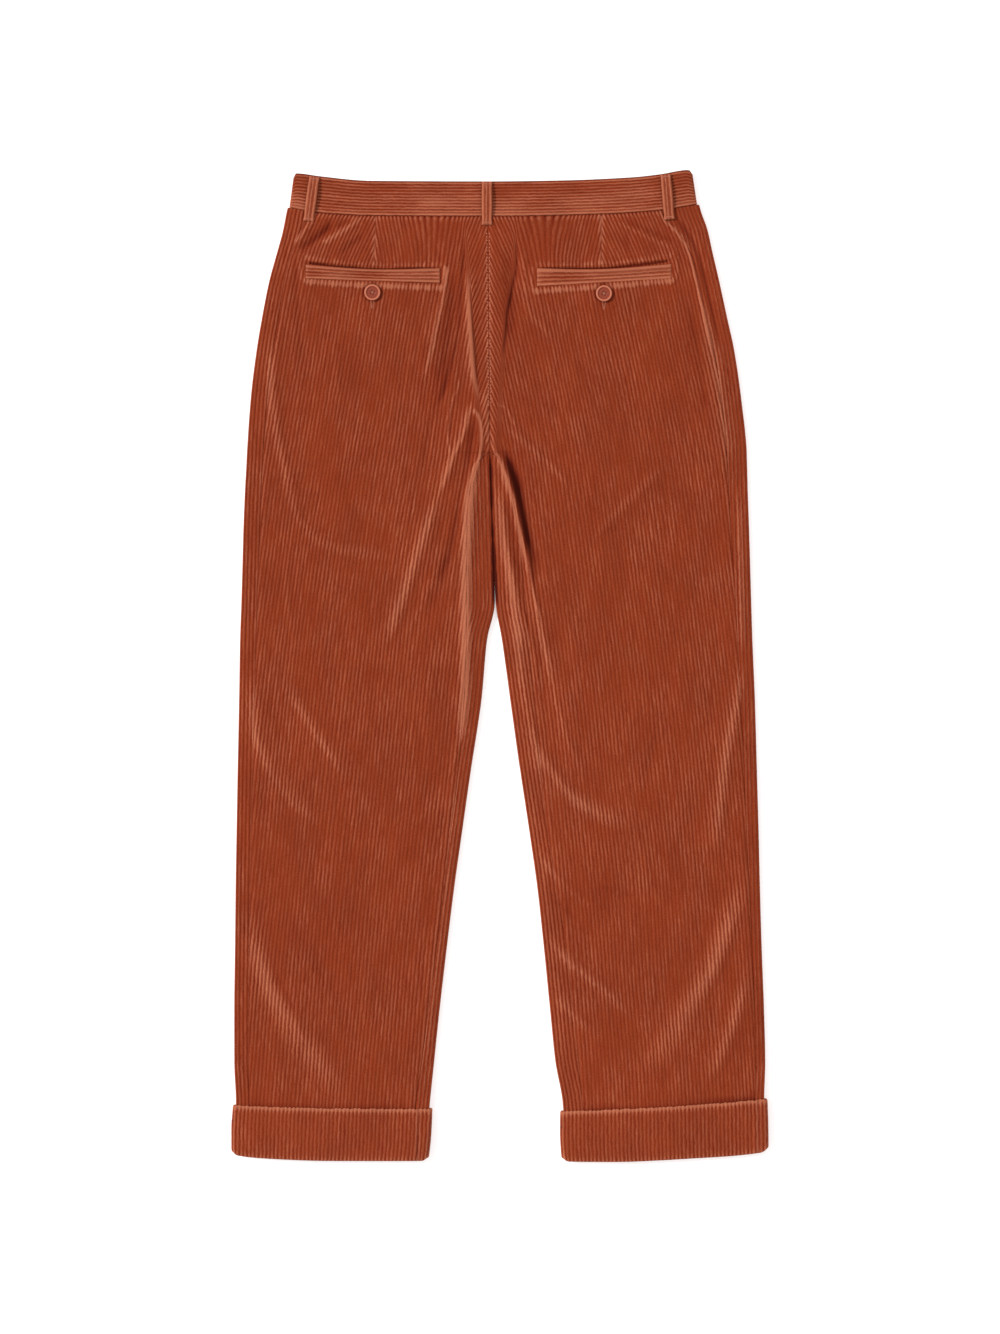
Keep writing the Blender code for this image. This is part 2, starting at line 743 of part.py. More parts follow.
def cuff_ring(sides, top_edge, hem, step):
    """One ring round a turn-up, its depth being how far inside the outer face it lies."""
    radius = CUFF_HEIGHT / 2
    reach = radius - step.depth
    edge = hem if step.anchor == "hem" else top_edge
    middle_y = np.mean([point.y for point in edge]) + step.rise
    left = column(sides, "left", middle_y)
    right = column(sides, "right", middle_y)
    leg = LEFT_LEG if left < 0 else RIGHT_LEG

    def at(x, z, upper):
        y = edge_height(edge, x) + step.rise
        lift = relief(leg, x, CUFF_RELIEF_AT) * upper
        return (x, y, z + lift)

    ring = []
    for x in np.linspace(left + radius, right - radius, CUFF_BACK_POINTS)[1:-1]:
        ring.append(at(x, CUFF_HEIGHT - step.depth, 1.0))
    for angle in HALF_TURN[::-1]:
        upper = (1 + math.sin(angle)) / 2
        ring.append(at(right - radius + reach * math.cos(angle), radius + reach * math.sin(angle), upper))
    for x in np.linspace(right - radius, left + radius, CUFF_FRONT_POINTS)[1:-1]:
        ring.append(at(x, step.depth, 0.0))
    for angle in HALF_TURN:
        upper = (1 + math.sin(angle)) / 2
        ring.append(at(left + radius - reach * math.cos(angle), radius + reach * math.sin(angle), upper))
    return ring


def cuff(name, sides, top_edge, hem):
    """A turn-up: outer wall, folded hem and the short return that meets the leg."""
    inside = 2 * CLOTH + CUFF_INNER_GAP
    profile = (
        CuffStep("top", 0.0, 0.5),
        CuffStep("top", -1.0, 0.0),
        CuffStep("hem", 18.0, 0.0),
        CuffStep("hem", 2.2, 0.2),
        CuffStep("hem", 0.5, 1.1),
        CuffStep("hem", 0.0, inside / 2),
        CuffStep("hem", 0.5, inside - 1.1),
        CuffStep("hem", 2.2, inside - 0.1),
        CuffStep("hem", CUFF_RETURN, inside),
        CuffStep("hem", CUFF_RETURN, inside - CLOTH),
        CuffStep("hem", CUFF_RETURN - 3.0, inside - CLOTH),
        CuffStep("hem", CUFF_RETURN - 2.4, CLOTH),
        CuffStep("hem", 18.0, CLOTH),
        CuffStep("top", -0.6, CLOTH),
        CuffStep("top", 0.0, CLOTH - 0.4),
    )
    rings = [cuff_ring(sides, top_edge, hem, step) for step in profile]
    turned = ring_mesh(name, rings)
    dress(turned, CORDUROY)


class LoopStation(NamedTuple):
    """A place along a belt loop and its height there, or None where it follows the panel."""

    at: float
    height: float | None


def belt_loop(loop):
    """A strip over the waistband, sewn down at the band's top and below its seam."""
    leg = LEFT_LEG if loop.top_x < LEFT_LEG[0].inner else RIGHT_LEG
    length = math.hypot(loop.end_x - loop.top_x, loop.end_y - loop.top_y)
    along = ((loop.end_x - loop.top_x) / length, (loop.end_y - loop.top_y) / length)
    across = (-along[1], along[0])
    on_band = BAND_HEIGHT + REST_GAP
    seam_at = loop.top_y - edge_height(WAIST_SEAM, loop.top_x)
    stations = (
        LoopStation(0.0, on_band),
        LoopStation(2.5, on_band + 0.1),
        LoopStation(9.0, on_band + LOOP_LIFT),
        LoopStation(0.5 * seam_at, on_band + LOOP_MIDDLE_LIFT),
        LoopStation(seam_at - 6.0, on_band + LOOP_LIFT),
        LoopStation(seam_at + 1.0, on_band + 0.2),
        LoopStation(length - 4.5, None),
        LoopStation(length, None),
    )
    outer = []
    inner = []
    for at, height in stations:
        ring_out = []
        ring_in = []
        for share, crown in LOOP_PROFILE:
            x = loop.top_x + along[0] * at + across[0] * LOOP_WIDTH * share
            y = loop.top_y + along[1] * at + across[1] * LOOP_WIDTH * share
            base = height
            if base is None:
                base = panel_top(leg, x, y) + REST_GAP
            ring_out.append((x, y, base + LOOP_CLOTH + LOOP_CROWN * crown))
            ring_in.append((x, y, base))
        outer.append(ring_out)
        inner.append(ring_in)
    strip = wall_mesh(loop.name, outer, inner)
    dress(strip, CORDUROY)


def pocket_welt(welt):
    """A welt sewn on below its pocket's mouth, with a lip that stands off the panel."""
    leg = LEFT_LEG if welt.left < LEFT_LEG[0].inner else RIGHT_LEG
    outer = []
    inner = []
    for row, share in enumerate(np.linspace(0.0, 1.0, 2 * WELT_WALES + 1)):
        dip = 0.0 if row % 2 else WALE_HEIGHT
        ring_out = []
        ring_in = []
        for at in np.linspace(0.0, 1.0, WELT_POINTS):
            x = welt.left + at * (welt.right - welt.left)
            sag = welt.sag * math.sin(math.pi * at)
            top = welt.left_top + at * (welt.right_top - welt.left_top) - sag
            low = welt.left_end + at * (welt.right_end - welt.left_end)
            y = low + share * (top - low)
            sewn_down = ease(at / WELT_SEWN_END) * ease((1 - at) / WELT_SEWN_END)
            lip = WELT_LIP * ease((share - WELT_LIP_FROM) / (1 - WELT_LIP_FROM)) * sewn_down
            base = panel_top(leg, x, y) + REST_GAP + lip
            ring_out.append((x, y, base + WELT_CLOTH - dip))
            ring_in.append((x, y, base))
        outer.append(ring_out)
        inner.append(ring_in)
    strip = wall_mesh(welt.name, outer, inner)
    dress(strip, CORDUROY)


def pocket_button(button):
    """A turned button with a raised rim and a dished middle."""
    leg = LEFT_LEG if button.x < LEFT_LEG[0].inner else RIGHT_LEG
    spots = [
        (button.x + reach * math.cos(turn), button.y + reach * math.sin(turn))
        for reach in (0.0, 0.5 * BUTTON_RADIUS, BUTTON_RADIUS)
        for turn in np.linspace(0.0, 2 * math.pi, 8, endpoint=False)
    ]
    seat = max(panel_top(leg, x, y) for x, y in spots) + REST_GAP
    turns = np.linspace(0.0, 2 * math.pi, BUTTON_SIDES, endpoint=False)
    points = []
    for share, height in BUTTON_PROFILE:
        for turn in turns:
            reach = share * BUTTON_RADIUS
            x = button.x + reach * math.cos(turn)
            y = button.y + reach * math.sin(turn)
            points.append((x, y, seat + height))
    faces = []
    for r in range(len(BUTTON_PROFILE) - 1):
        for c in range(BUTTON_SIDES):
            beside = (c + 1) % BUTTON_SIDES
            low = r * BUTTON_SIDES
            high = low + BUTTON_SIDES
            faces.append((low + c, low + beside, high + beside, high + c))
    last = (len(BUTTON_PROFILE) - 1) * BUTTON_SIDES
    faces.append(tuple(reversed(range(BUTTON_SIDES))))
    faces.append(tuple(range(last, last + BUTTON_SIDES)))
    disc = solid_object(button.name, points, faces)
    dress(disc, BUTTON_RESIN)


def main():
    """Builds the garment, from the panels to what is sewn on them."""
    for thing in list(bpy.data.objects):
        bpy.data.objects.remove(thing, do_unlink=True)
    front_panel("front_panel_left", LEFT_LEG)
    front_panel("front_panel_right", RIGHT_LEG)
    back_panel("back_panel_left", LEFT_LEG)
    back_panel("back_panel_right", RIGHT_LEG)
    waistband()
    cuff("cuff_left", LEFT_CUFF_SIDES, LEFT_CUFF_TOP, LEFT_HEM)
    cuff("cuff_right", RIGHT_CUFF_SIDES, RIGHT_CUFF_TOP, RIGHT_HEM)
    for loop in LOOPS:
        belt_loop(loop)
    for welt in WELTS:
        pocket_welt(welt)
    for button in BUTTONS:
        pocket_button(button)


main()
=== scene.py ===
"""Dresses wide-wale corduroy trousers that lie flat on their front, with the back up.

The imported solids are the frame. Each cut piece becomes a thin shell of ribbed cloth
on the form of its solid, with its wales, creases, pressed seams and stitches.

The wearer's left side is at -X, the waist is at +Y and the cloth rests on Z = 0.
Lengths are in millimetres unless a name says otherwise, and become metres when a
mesh is made.
"""

import logging
import math
from dataclasses import dataclass, field
from enum import Enum
from functools import partial
from typing import Hashable, NamedTuple, Sequence

import bpy
import numpy as np
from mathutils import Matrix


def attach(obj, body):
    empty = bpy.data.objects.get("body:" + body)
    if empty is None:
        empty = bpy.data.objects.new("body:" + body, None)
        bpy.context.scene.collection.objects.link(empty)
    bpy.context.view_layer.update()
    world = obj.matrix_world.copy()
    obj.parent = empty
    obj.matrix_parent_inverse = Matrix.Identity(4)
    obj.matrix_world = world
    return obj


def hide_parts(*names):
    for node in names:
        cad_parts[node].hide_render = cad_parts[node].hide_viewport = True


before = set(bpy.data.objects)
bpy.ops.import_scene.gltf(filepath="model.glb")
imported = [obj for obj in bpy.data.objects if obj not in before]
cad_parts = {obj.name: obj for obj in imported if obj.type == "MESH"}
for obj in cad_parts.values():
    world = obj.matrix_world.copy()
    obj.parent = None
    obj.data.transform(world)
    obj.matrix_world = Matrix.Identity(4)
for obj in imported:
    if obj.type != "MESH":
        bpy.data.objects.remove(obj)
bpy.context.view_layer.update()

LOG = logging.getLogger("trousers")
Array = np.ndarray
Value = np.ndarray | float
Line = tuple[Array, Array, Value, Value]
Pairs = tuple[tuple[float, float], ...]
Colour = tuple[float, float, float, float]
Material = bpy.types.Material
Object = bpy.types.Object
Tree = bpy.types.NodeTree
Socket = bpy.types.NodeSocket

MM = 0.001
BODY = "root"
CLOTH_SLOT = "corduroy"
BUTTON_SLOT = "button"

# Cloth and layers, as in the solids.
SEAM_GAP = 0.36
REST_GAP = 0.45
PANEL_CLOTH = 1.9
LEG_FULLNESS = 2.0
LEAST_RISE = 0.8
TROUGH_DEPTH = 1.5
WAIST_BEND_FROM = 330.0
HEM_BEND_FROM = -400.0
WAIST_NOMINAL = 449.5
HEM_NOMINAL = -486.0
SEAT_FOOT = 214.0
INSEAM_TOP = 213.0
CROTCH = 209.6
FORK = 213.2
BAND_HEIGHT = 6.6
BAND_CLOTH = 2.6
BAND_FRONT_DROP = 3.0
CUFF_HEIGHT = 9.0
CUFF_RETURN = 7.0
CUFF_LAYER = 4.2
HEM_CLEARANCE = 1.2
LOOP_WIDTH = 11.0
LOOP_CLOTH = 1.5
BUTTON_RADIUS = 8.2

# How the worn cloth differs from the solids, and how strongly its form is painted with light and shade.
FOLD_GAIN = 0.1
LIGHT_SLOPE_STEP = 0.8
PAINTED_LIGHT_ON_SLOPE = 0.45
PAINTED_LIGHT_ON_FOLD = 0.14
PAINTED_LIGHT_ON_CREST = 0.42
SHARP_CREASE = 2.4
LOWEST_WORN = -2.8
OFF_FLOOR = 0.02


class Side(Enum):
    """The wearer's side that a piece belongs to, as the sign of its X."""

    LEFT = -1
    RIGHT = 1


class LegRow(NamedTuple):
    """The edges and seams of one leg at one height, as distances from the middle."""

    y: float
    outer: float
    side_seam: float
    inseam: float
    inner: float


LEFT_ROWS = tuple(LegRow(*row) for row in (
    (458.5, -211, -190, -12, -12), (444.5, -214, -193, -12, -12), (425.5, -218, -201.4, -11.9, -11.9),
    (405.5, -224, -209, -11.8, -11.8), (380.5, -231.5, -216, -11.6, -11.6), (350.5, -238, -221, -11.4, -11.4),
    (315.5, -244, -227, -11, -11), (265.5, -250, -233, -10.4, -10.4), (213.5, -253.6, -237, -10, -10),
    (209.6, -253.8, -237.2, -16, -9.9), (205.5, -254, -237.5, -19.5, -9.8), (195.5, -254.5, -238, -25, -9.4),
    (179.5, -255.4, -238.8, -29.4, -8.9), (141.5, -257, -240, -33, -7.7), (105.5, -258, -241.4, -33, -6.3),
    (63.5, -259.2, -243, -33, -5.2), (25.5, -260.5, -244, -33.2, -13), (-34.5, -261.5, -245.5, -36, -18.6),
    (-108.5, -263, -247.5, -42, -29.6), (-165.5, -264, -248.5, -49, -37.7), (-224.5, -265, -250, -56, -46),
    (-274.5, -265.5, -250.5, -62.5, -52.2), (-350.5, -266.4, -251.5, -72, -61),
    (-395.5, -266.3, -251.5, -78, -65.7), (-439.5, -264.5, -251, -84.5, -70.2),
    (-487, -265.6, -251.5, -89, -74.6),
))
RIGHT_ROWS = tuple(LegRow(*row) for row in (
    (458.5, 197.8, 159, -12, -12), (444.5, 201, 164, -12, -12), (425.5, 208, 179, -11.9, -11.9),
    (405.5, 213, 191, -11.8, -11.8), (380.5, 219.7, 199, -11.6, -11.6), (350.5, 227, 206, -11.4, -11.4),
    (315.5, 234.8, 214.5, -11, -11), (265.5, 242, 222, -10.4, -10.4), (213.5, 247.3, 227, -10, -10),
    (209.6, 247.4, 227.2, -4.1, -9.9), (205.5, 247.5, 227.5, -0.5, -9.8), (195.5, 247.8, 228, 5, -9.4),
    (179.5, 248.2, 229, 10, -8.9), (141.5, 249.5, 231, 17, -7.7), (105.5, 250.6, 233, 21.5, -6.3),
    (63.5, 251.8, 236, 26, -4.4), (25.5, 253, 238, 29, 2), (-34.5, 255.5, 241, 34, 10.3),
    (-108.5, 257.6, 244.5, 41, 20.6), (-165.5, 259.2, 247, 48, 29.2), (-224.5, 260.6, 250, 57, 37.5),
    (-274.5, 262, 252, 65, 43), (-350.5, 264.8, 255, 74, 50.6), (-395.5, 265.8, 256.5, 78.5, 55.2),
    (-439.5, 264.6, 255.5, 83, 62.8), (-487, 266, 257, 88, 65.2),
))


class Place(NamedTuple):
    """A point on the garment, seen from above."""

    x: float
    y: float


class Crease(NamedTuple):
    """A ridge, or a trough where its height is negative, along a path.

    The path is the X and the Y of each of its points in turn. The crease rises from
    nothing and falls back over its fade, a share of its length, at each end. Its painted
    light strength says how strongly a ridge is painted pale as a highlight and a trough
    dark as shade; below 0 the two swap.
    """

    height: float
    width: float
    path: tuple[float, ...]
    fade: float = 0.25
    painted_light_strength: float = 1.0


# The large soft folds, which the solids have too.
FOLDS = tuple(Crease(*row) for row in (
    # Seat, left of the centre back seam.
    (2.3, 6, (-28, 410, -29, 335, -25, 262)), (-1.6, 7, (-42, 400, -47, 345, -63, 262)),
    (0.8, 6, (-53, 430, -58, 364, -76, 303)), (2, 6.5, (-23, 268, -46, 208, -60, 169)),
    (1.7, 9, (-54, 185, -75, 127, -118, 10)),
    # Seat, over and right of the centre back seam.
    (1, 15, (-2, 440, -5, 345, -10, 245)), (-1.5, 8, (7, 430, 12, 370, 14, 300)),
    (0.8, 7, (23, 392, 43, 349, 76, 318)),
    # The deep crease from the crotch across the right leg.
    (3.6, 5, (-3, 222, 13, 173, 34, 85)), (1.5, 7.5, (27, 108, 43, 30, 84, -100)),
    (-1.9, 6.5, (8, 210, 23, 168, 42, 75)),
    # Along the inseams.
    (0.9, 6, (-30, 214, -33, 110, -36, -40)), (1.1, 5.5, (0, 190, 6, 118, 36, 0)),
    # Hips.
    (0.8, 8, (-226, 350, -224, 235, -195, 148)), (0.8, 8, (200, 345, 212, 288, 221, 190)),
    (0.8, 8, (-124, 448, -160, 426, -200, 400)), (0.7, 10, (178, 210, 139, 172, 95, 134)),
    # Drag folds across the left leg.
    (1.1, 10, (-245, 5, -236, -80, -170, -170)), (1, 9, (-222, 0, -189, -55, -145, -116)),
    (1.6, 11, (-252, -235, -226, -325, -150, -428)), (-0.9, 10, (-216, -230, -179, -303, -135, -380)),
    # Drag folds across the right leg.
    (1.6, 9.5, (24, -70, 60, -124, 152, -168)), (1.1, 10, (241, 5, 228, -80, 204, -218)),
    (1.7, 11, (250, -200, 213, -305, 126, -432)), (1.1, 9, (252, -306, 227, -372, 202, -426)),
    (1, 9, (54, -276, 92, -316, 128, -352)), (-0.9, 9, (50, -198, 84, -236, 134, -246)),
))

# Slight folds that the solids leave out.
SMALL_FOLDS = tuple(Crease(*row) for row in (
    (0.5, 7, (-200, 153, -170, 124, -100, 112)), (0.8, 6, (-73, -162, -55, -147, -43, -126)),
    (-0.6, 5, (-78, -136, -60, -122, -43, -110)), (0.7, 8, (-7, 268, 23, 222, 74, 182)),
    (0.5, 6, (68, -348, 86, -366, 104, -384)), (-0.7, 7, (164, -50, 150, -95, 139, -140)),
    (-0.7, 5, (-149, 440, -172, 432, -194, 424)), (-0.6, 6, (124, 430, 142, 419, 160, 409)),
    (1.4, 5, (-1, 195, 4, 125, 19, 50)), (1.2, 6, (19, 50, 33, 10, 41, -35)),
))

# The sharper creases, each also painted: a highlight on a ridge and shade in a trough.
CREASES = tuple(Crease(*row) for row in (
    # The pale ridge left of the centre back seam, down to its fork, and its troughs.
    (0.6, 2.2, (-34, 403.5, -32, 380.5, -31, 365.5, -29.5, 345.5, -28, 325.5, -26.8, 305.5, -24.8, 285.5,
     -22, 273.5, -22, 263.5)),
    (0.7, 2.3, (-31, 369.5, -29.5, 345.5, -28, 325.5, -26.8, 305.5, -24.8, 285.5, -22, 273.5,
     -22, 261.5), 0.14),
    (-0.9, 2.5, (-37, 431.5, -36, 409.5, -37, 385.5, -38, 365.5, -39.5, 339.5, -42, 320.5)),
    (-0.9, 2.6, (-40, 335.5, -43, 320.5, -47, 305.5, -51, 290.5, -55, 275.5, -60, 257.5), 0.2),
    (-0.6, 4, (-48, 303.5, -54, 280.5, -62, 260.5, -69, 235.5, -74, 210.5, -80, 185.5)),
    (-0.6, 1, (-29, 380.5, -27.6, 355.5, -26.2, 335.5, -24.2, 315.5, -22.6, 293.5, -20.4, 279.5), 0.1),
    (0.9, 2.8, (-50, 413.5, -52, 397.5, -53.5, 381.5, -57, 361.5, -61, 343.5, -66, 321.5, -72, 300.5,
     -79, 275.5), 0.2, 1.7),
    (-0.6, 1.8, (-68, 421.5, -60, 411.5, -58, 397.5, -59, 375.5, -64, 353.5)),
    # Its left branch, which runs on down the left thigh.
    (0.7, 1.9, (-21, 269.5, -26, 263, -29.5, 257.5, -31.4, 249.5, -33, 239.5, -35.4, 231, -41, 219.5,
     -47, 207.5, -51, 195.5, -57, 179.5, -62, 165.5), 0.12),
    (0.6, 5, (-44, 215.5, -52, 195.5, -60, 173.5, -69, 147.5, -79, 118.5, -89, 88.5, -99, 59.5, -109, 33.5,
     -121, 9.5, -132, -14.5), 0.25, 1.6),
    (0.6, 2.4, (-56, 120.5, -66, 90.5, -76, 63.5, -89, 37.5, -103, 19.5, -115, 3.5)),
    (0.9, 1.5, (-39, 289.5, -43, 273.5, -48, 261.5, -51, 248.5, -52.2, 236.5, -51.4, 224.5,
     -49, 209.5), 0.12),
    # Its right branch, the lip beside the left inseam, and their troughs.
    (1.7, 1.8, (-30, 256.5, -25, 254.5, -21, 250.5, -18.5, 242.5, -17.4, 232.5, -17.6, 220.5, -20, 207.5,
     -25, 191.5, -29, 177.5), 0.08),
    (1.9, 5.6, (-19, 219.5, -21.5, 203.5, -26, 185.5, -29, 165.5, -31, 135.5, -32.5, 105.5, -33, 65.5,
     -33, 25.5, -34, -24.5, -36.5, -59.5, -41, -92.5), 0.16, 2.3),
    (0.6, 3.2, (-40, -69.5, -44, -92.5, -54, -116.5, -69, -140.5, -86, -164.5), 0.2),
    (-1.2, 4, (-26, 257.5, -26, 241.5, -28, 220.5, -32, 197.5, -38, 167.5, -44, 137.5, -51, 105.5,
     -59, 75.5), 0.16),
    (-0.9, 5, (-50, 120.5, -60, 80.5, -72, 45.5)),
    # A low rise at the foot of the centre back seam, painted pale as a highlight.
    (0.8, 5.4, (-16, 279.5, -14, 259.5, -12, 238.5, -11, 217.5), 0.2, 2),
    # Right of the centre back seam.
    (-1, 1.7, (16, 431.5, 18, 410.5, 17, 395.5, 13.5, 379.5, 11, 365.5, 8, 353.5, 7, 335.5, 5, 320.5,
     4.6, 303.5), 0.14),
    (-0.6, 3.6, (11, 375.5, 14, 355.5, 12, 330.5)),
    (0.8, 3.4, (19, 429.5, 24, 409.5, 25, 385.5, 26, 365.5, 34, 347.5, 48, 332.5, 62, 317.5), 0.2),
    (0.8, 1.7, (-6, 261.5, 1, 260.5, 7, 257.5, 12, 249.5, 16, 238.5), 0.14),
    (0.6, 3.8, (4, 245.5, 10, 235.5, 18, 229.5, 27, 223.5, 35, 215.5, 48, 203.5, 60, 190.5,
     75, 173.5), 0.2, 1.3),
    # The lip and the deep trough from the crotch down the right leg.
    (1.35, 1.9, (-7, 231.5, -5.5, 219.5, -2, 211, 4, 198.5, 10.5, 180.5, 16, 157.5, 21.5, 131.5, 28, 103.5,
     33.5, 76.5, 42, 40.5), 0.1, 0.55),
    (1.2, 4.6, (0, 195.5, 4, 165.5, 8, 135.5, 11, 105.5, 14, 75.5, 18, 40.5, 24, -4.5, 30, -44.5), 0.3, 0.6),
    (-2.1, 4, (1, 223.5, 9, 206.5, 15.5, 187.5, 21.5, 159.5, 26.5, 131.5, 31, 103.5), 0.2, 1.3),
    (-0.6, 2.4, (23, 155.5, 27.5, 131.5, 31.5, 110.5, 34.5, 89.5, 37, 63.5), 0.3),
    (-0.9, 6.5, (3, 219.5, 11, 202.5, 18, 184.5, 24, 159.5), 0.4, 2.4),
    (0.2, 4.5, (4, 187.5, 8, 165.5, 12, 138.5, 16, 111.5, 22, 78.5), 0.25, -5),
    # Their ridge, on across the right thigh.
    (1.6, 6.8, (8, 105.5, 13, 75.5, 17, 40.5, 21, 5.5, 27, -34.5, 35, -72.5, 48, -98.5, 62, -119.5,
     80, -138.5, 100, -150.5, 124, -160.5, 144, -162.5), 0.2, 1.05),
    (-0.9, 4.5, (41, -96.5, 57, -121.5, 76, -142.5)),
    (0.8, 3.8, (34, 75.5, 41, 40.5, 48, 5.5, 56, -32.5, 65, -64.5, 78, -99.5, 92, -129.5)),
    (-0.7, 4, (50, 10.5, 60, -34.5, 78, -79.5, 96, -112.5)),
    (0.6, 4.2, (155, -60.5, 148, -82.5, 142, -104.5, 139, -134.5)),
    (0.5, 4, (168, 203.5, 142, 177.5, 118, 152.5, 100, 133.5, 84, 113.5, 68, 81.5)),
    # The drag folds above the left pocket.
    (0.9, 2.4, (-207, 413.5, -200, 422.5, -191, 434.5, -181, 446.5), 0.2),
    (-1.6, 3.2, (-203, 411.5, -190, 418.5, -180, 426.5, -171, 435.5, -167, 444.5), 0.2),
    (1.3, 2.6, (-184, 417.5, -169, 424.5, -158, 432.5, -148, 439.5, -136, 447.5), 0.2),
    (-1, 3.6, (-162, 409.5, -151, 417.5, -140, 425.5, -134, 433.5)),
    (-0.7, 2.6, (-164, 435.5, -155, 441.5, -146, 446.5)),
    # The soft folds above the right pocket.
    (0.8, 2.2, (109, 445.5, 130, 434.5, 150, 423.5, 168, 414.5, 180, 408.5), 0.2),
    (-0.7, 2.6, (122, 443.5, 145, 432.5, 165, 422.5, 180, 415.5)),
    (-0.5, 4, (106, 433.5, 120, 423.5, 136, 413.5)),
    # The ridge along the right side seam.
    (1.2, 2, (154, 455.5, 158, 448.5, 164, 439.5, 173, 431.5, 181, 422.5, 187, 412.5, 191, 401.5, 195, 387.5,
     199, 371.5, 204, 353.5, 209, 330.5, 214, 305.5), 0.2),
    (-1.1, 2.6, (168, 451.5, 177, 439.5, 186, 427.5, 194, 414.5, 200, 401.5, 205, 384.5, 210, 365.5,
     216, 341.5, 222, 313.5), 0.2),
    (0.8, 7.5, (202, 375.5, 211, 335.5, 220, 285.5, 228, 237.5, 234, 189.5), 0.2, 2.8),
    (-0.7, 4, (190, 365.5, 197, 325.5, 204, 280.5, 208, 245.5), 0.2),
    # The soft bundles down the left hip.
    (0.9, 5.6, (-226, 345.5, -229, 320.5, -229, 293.5, -225, 255.5, -219, 217.5, -210, 173.5, -200, 145.5,
     -184, 125.5, -160, 115.5, -128, 110.5, -80, 105.5), 0.16, 1.35),
    (0.6, 4, (-209, 130.5, -214, 95.5, -211, 55.5, -203, 15.5)),
    (-0.6, 4.5, (-200, 405.5, -203, 375.5, -200, 335.5, -194, 285.5)),
    (0.5, 4, (-166, 345.5, -164, 305.5, -159, 255.5)),
    (0.5, 3.5, (-98, 369.5, -102, 335.5, -108, 293.5)),
    # The drag folds down the left leg.
    (0.9, 5, (-251, -6.5, -249, -34.5, -245, -64.5, -237, -90.5, -225, -114.5, -208, -135.5, -189, -151.5,
     -166, -166.5), 0.25, 1.5),
    (0.7, 4, (-224, -4.5, -206, -34.5, -186, -64.5, -165, -95.5, -142, -128.5), 0.3, 1.4),
    (1, 12, (-254, -249.5, -248, -274.5, -240, -299.5, -231, -324.5, -221, -346.5, -210, -368.5, -196, -388.5,
     -178, -407.5, -152, -430.5, -128, -446.5), 0.25, 2.8),
    (-0.6, 5, (-238, -264.5, -224, -306.5, -205, -342.5, -182, -374.5)),
    (0.5, 5.5, (-202, -289.5, -178, -329.5, -152, -372.5, -124, -414.5)),
    (0.6, 5.6, (-43, -104.5, -47.5, -164.5, -53.5, -214.5, -59.5, -264.5, -65.5, -314.5, -70.5, -364.5,
     -74.5, -414.5), 0.14, 1.7),
    (0.4, 4, (28, -94.5, 39, -174.5, 48.5, -234.5, 54.5, -284.5, 59.5, -334.5, 63, -384.5,
     65.5, -424.5), 0.2, 1.1),
    # The drag folds down the right leg.
    (0.9, 4, (239, 185.5, 241, 145.5, 242, 95.5, 243, 45.5, 243, 1.5), 0.2, 1.5),
    (1, 5.6, (245, 15.5, 241, -20.5, 235, -54.5, 228, -86.5, 224, -119.5, 221, -154.5,
     216, -196.5), 0.2, 1.6),
    (1, 11, (254, -184.5, 247, -210.5, 239, -237.5, 231, -264.5, 220, -292.5, 208, -318.5, 196, -344.5,
     182, -372.5, 166, -398.5, 146, -424.5), 0.25, 2.1),
    (-0.6, 5, (248, -239.5, 238, -270.5, 227, -298.5, 214, -326.5, 200, -354.5)),
    (0.8, 5.6, (252, -292.5, 246, -319.5, 238, -346.5, 229, -372.5, 219, -396.5, 206, -424.5), 0.25, 1.6),
    (1, 3.8, (49, -270.5, 60, -285.5, 73, -299.5, 88, -311.5, 104, -322.5, 120, -337.5, 138, -358.5), 0.2),
    (-0.7, 4, (56, -302.5, 74, -319.5, 94, -334.5)),
    (0.6, 4.4, (55, -329.5, 72, -347.5, 94, -368.5), 0.25, 2),
    (0.6, 4, (38, -184.5, 49, -202.5, 64, -220.5, 84, -236.5, 106, -244.5), 0.25, 2.2),
    (-0.6, 4, (45, -219.5, 62, -240.5, 84, -258.5)),
    (0.5, 4.6, (62, -262.5, 86, -272.5, 112, -276.5, 134, -268.5), 0.3, 1.4),
    (-0.6, 5, (92, -226.5, 116, -224.5, 140, -228.5), 0.35, 1.6),
))


class Station(NamedTuple):
    """One point of a curve: where it stands along it, and the curve's value there."""

    at: float
    value: float


def curve(*stations: tuple[float, float]) -> tuple[Station, ...]:
    """A curve through its stations, in any order."""
    return tuple(Station(*station) for station in stations)


# How high the outer faces of a leg's two layers lie, by the height on the leg.
UNDER_LEVEL = curve((500, 0), (-360, 0), (-400, 0.7), (-436, 2.35), (-500, 2.4))
OVER_LEVEL = curve((500, 5.2), (-360, 5.2), (-400, 5.6), (-436, 6.6), (-500, 6.6))

# The edges that run across the garment: heights by the distance from the middle.
BAND_TOP = curve(
    (-207, 489), (-204, 492.5), (-197, 492), (-182, 489.8), (-128, 485), (-10, 484.5), (66, 485.5),
    (132, 488.5), (160, 491.5), (182, 495.4), (188.5, 496), (193, 492.5)
)
WAIST_SEAM = curve(
    (-211, 458.5), (-184, 453.5), (-128, 450.2), (-10, 449.6), (105, 451.9), (159, 455.5), (197.5, 461.6)
)
LEFT_CUFF_TOP = curve((-268, -439.9), (-170, -442.6), (-67, -443.4))
LEFT_HEM = curve((-269, -486.5), (-262, -490.5), (-229, -493.4), (-170, -495.4), (-79, -495.6), (-72, -493))
RIGHT_CUFF_TOP = curve((59.5, -446), (160, -441.5), (268, -433.6))
RIGHT_HEM = curve((62, -493.5), (69, -496.4), (109, -496.5), (198.6, -492.6), (260, -487.5), (269, -483))

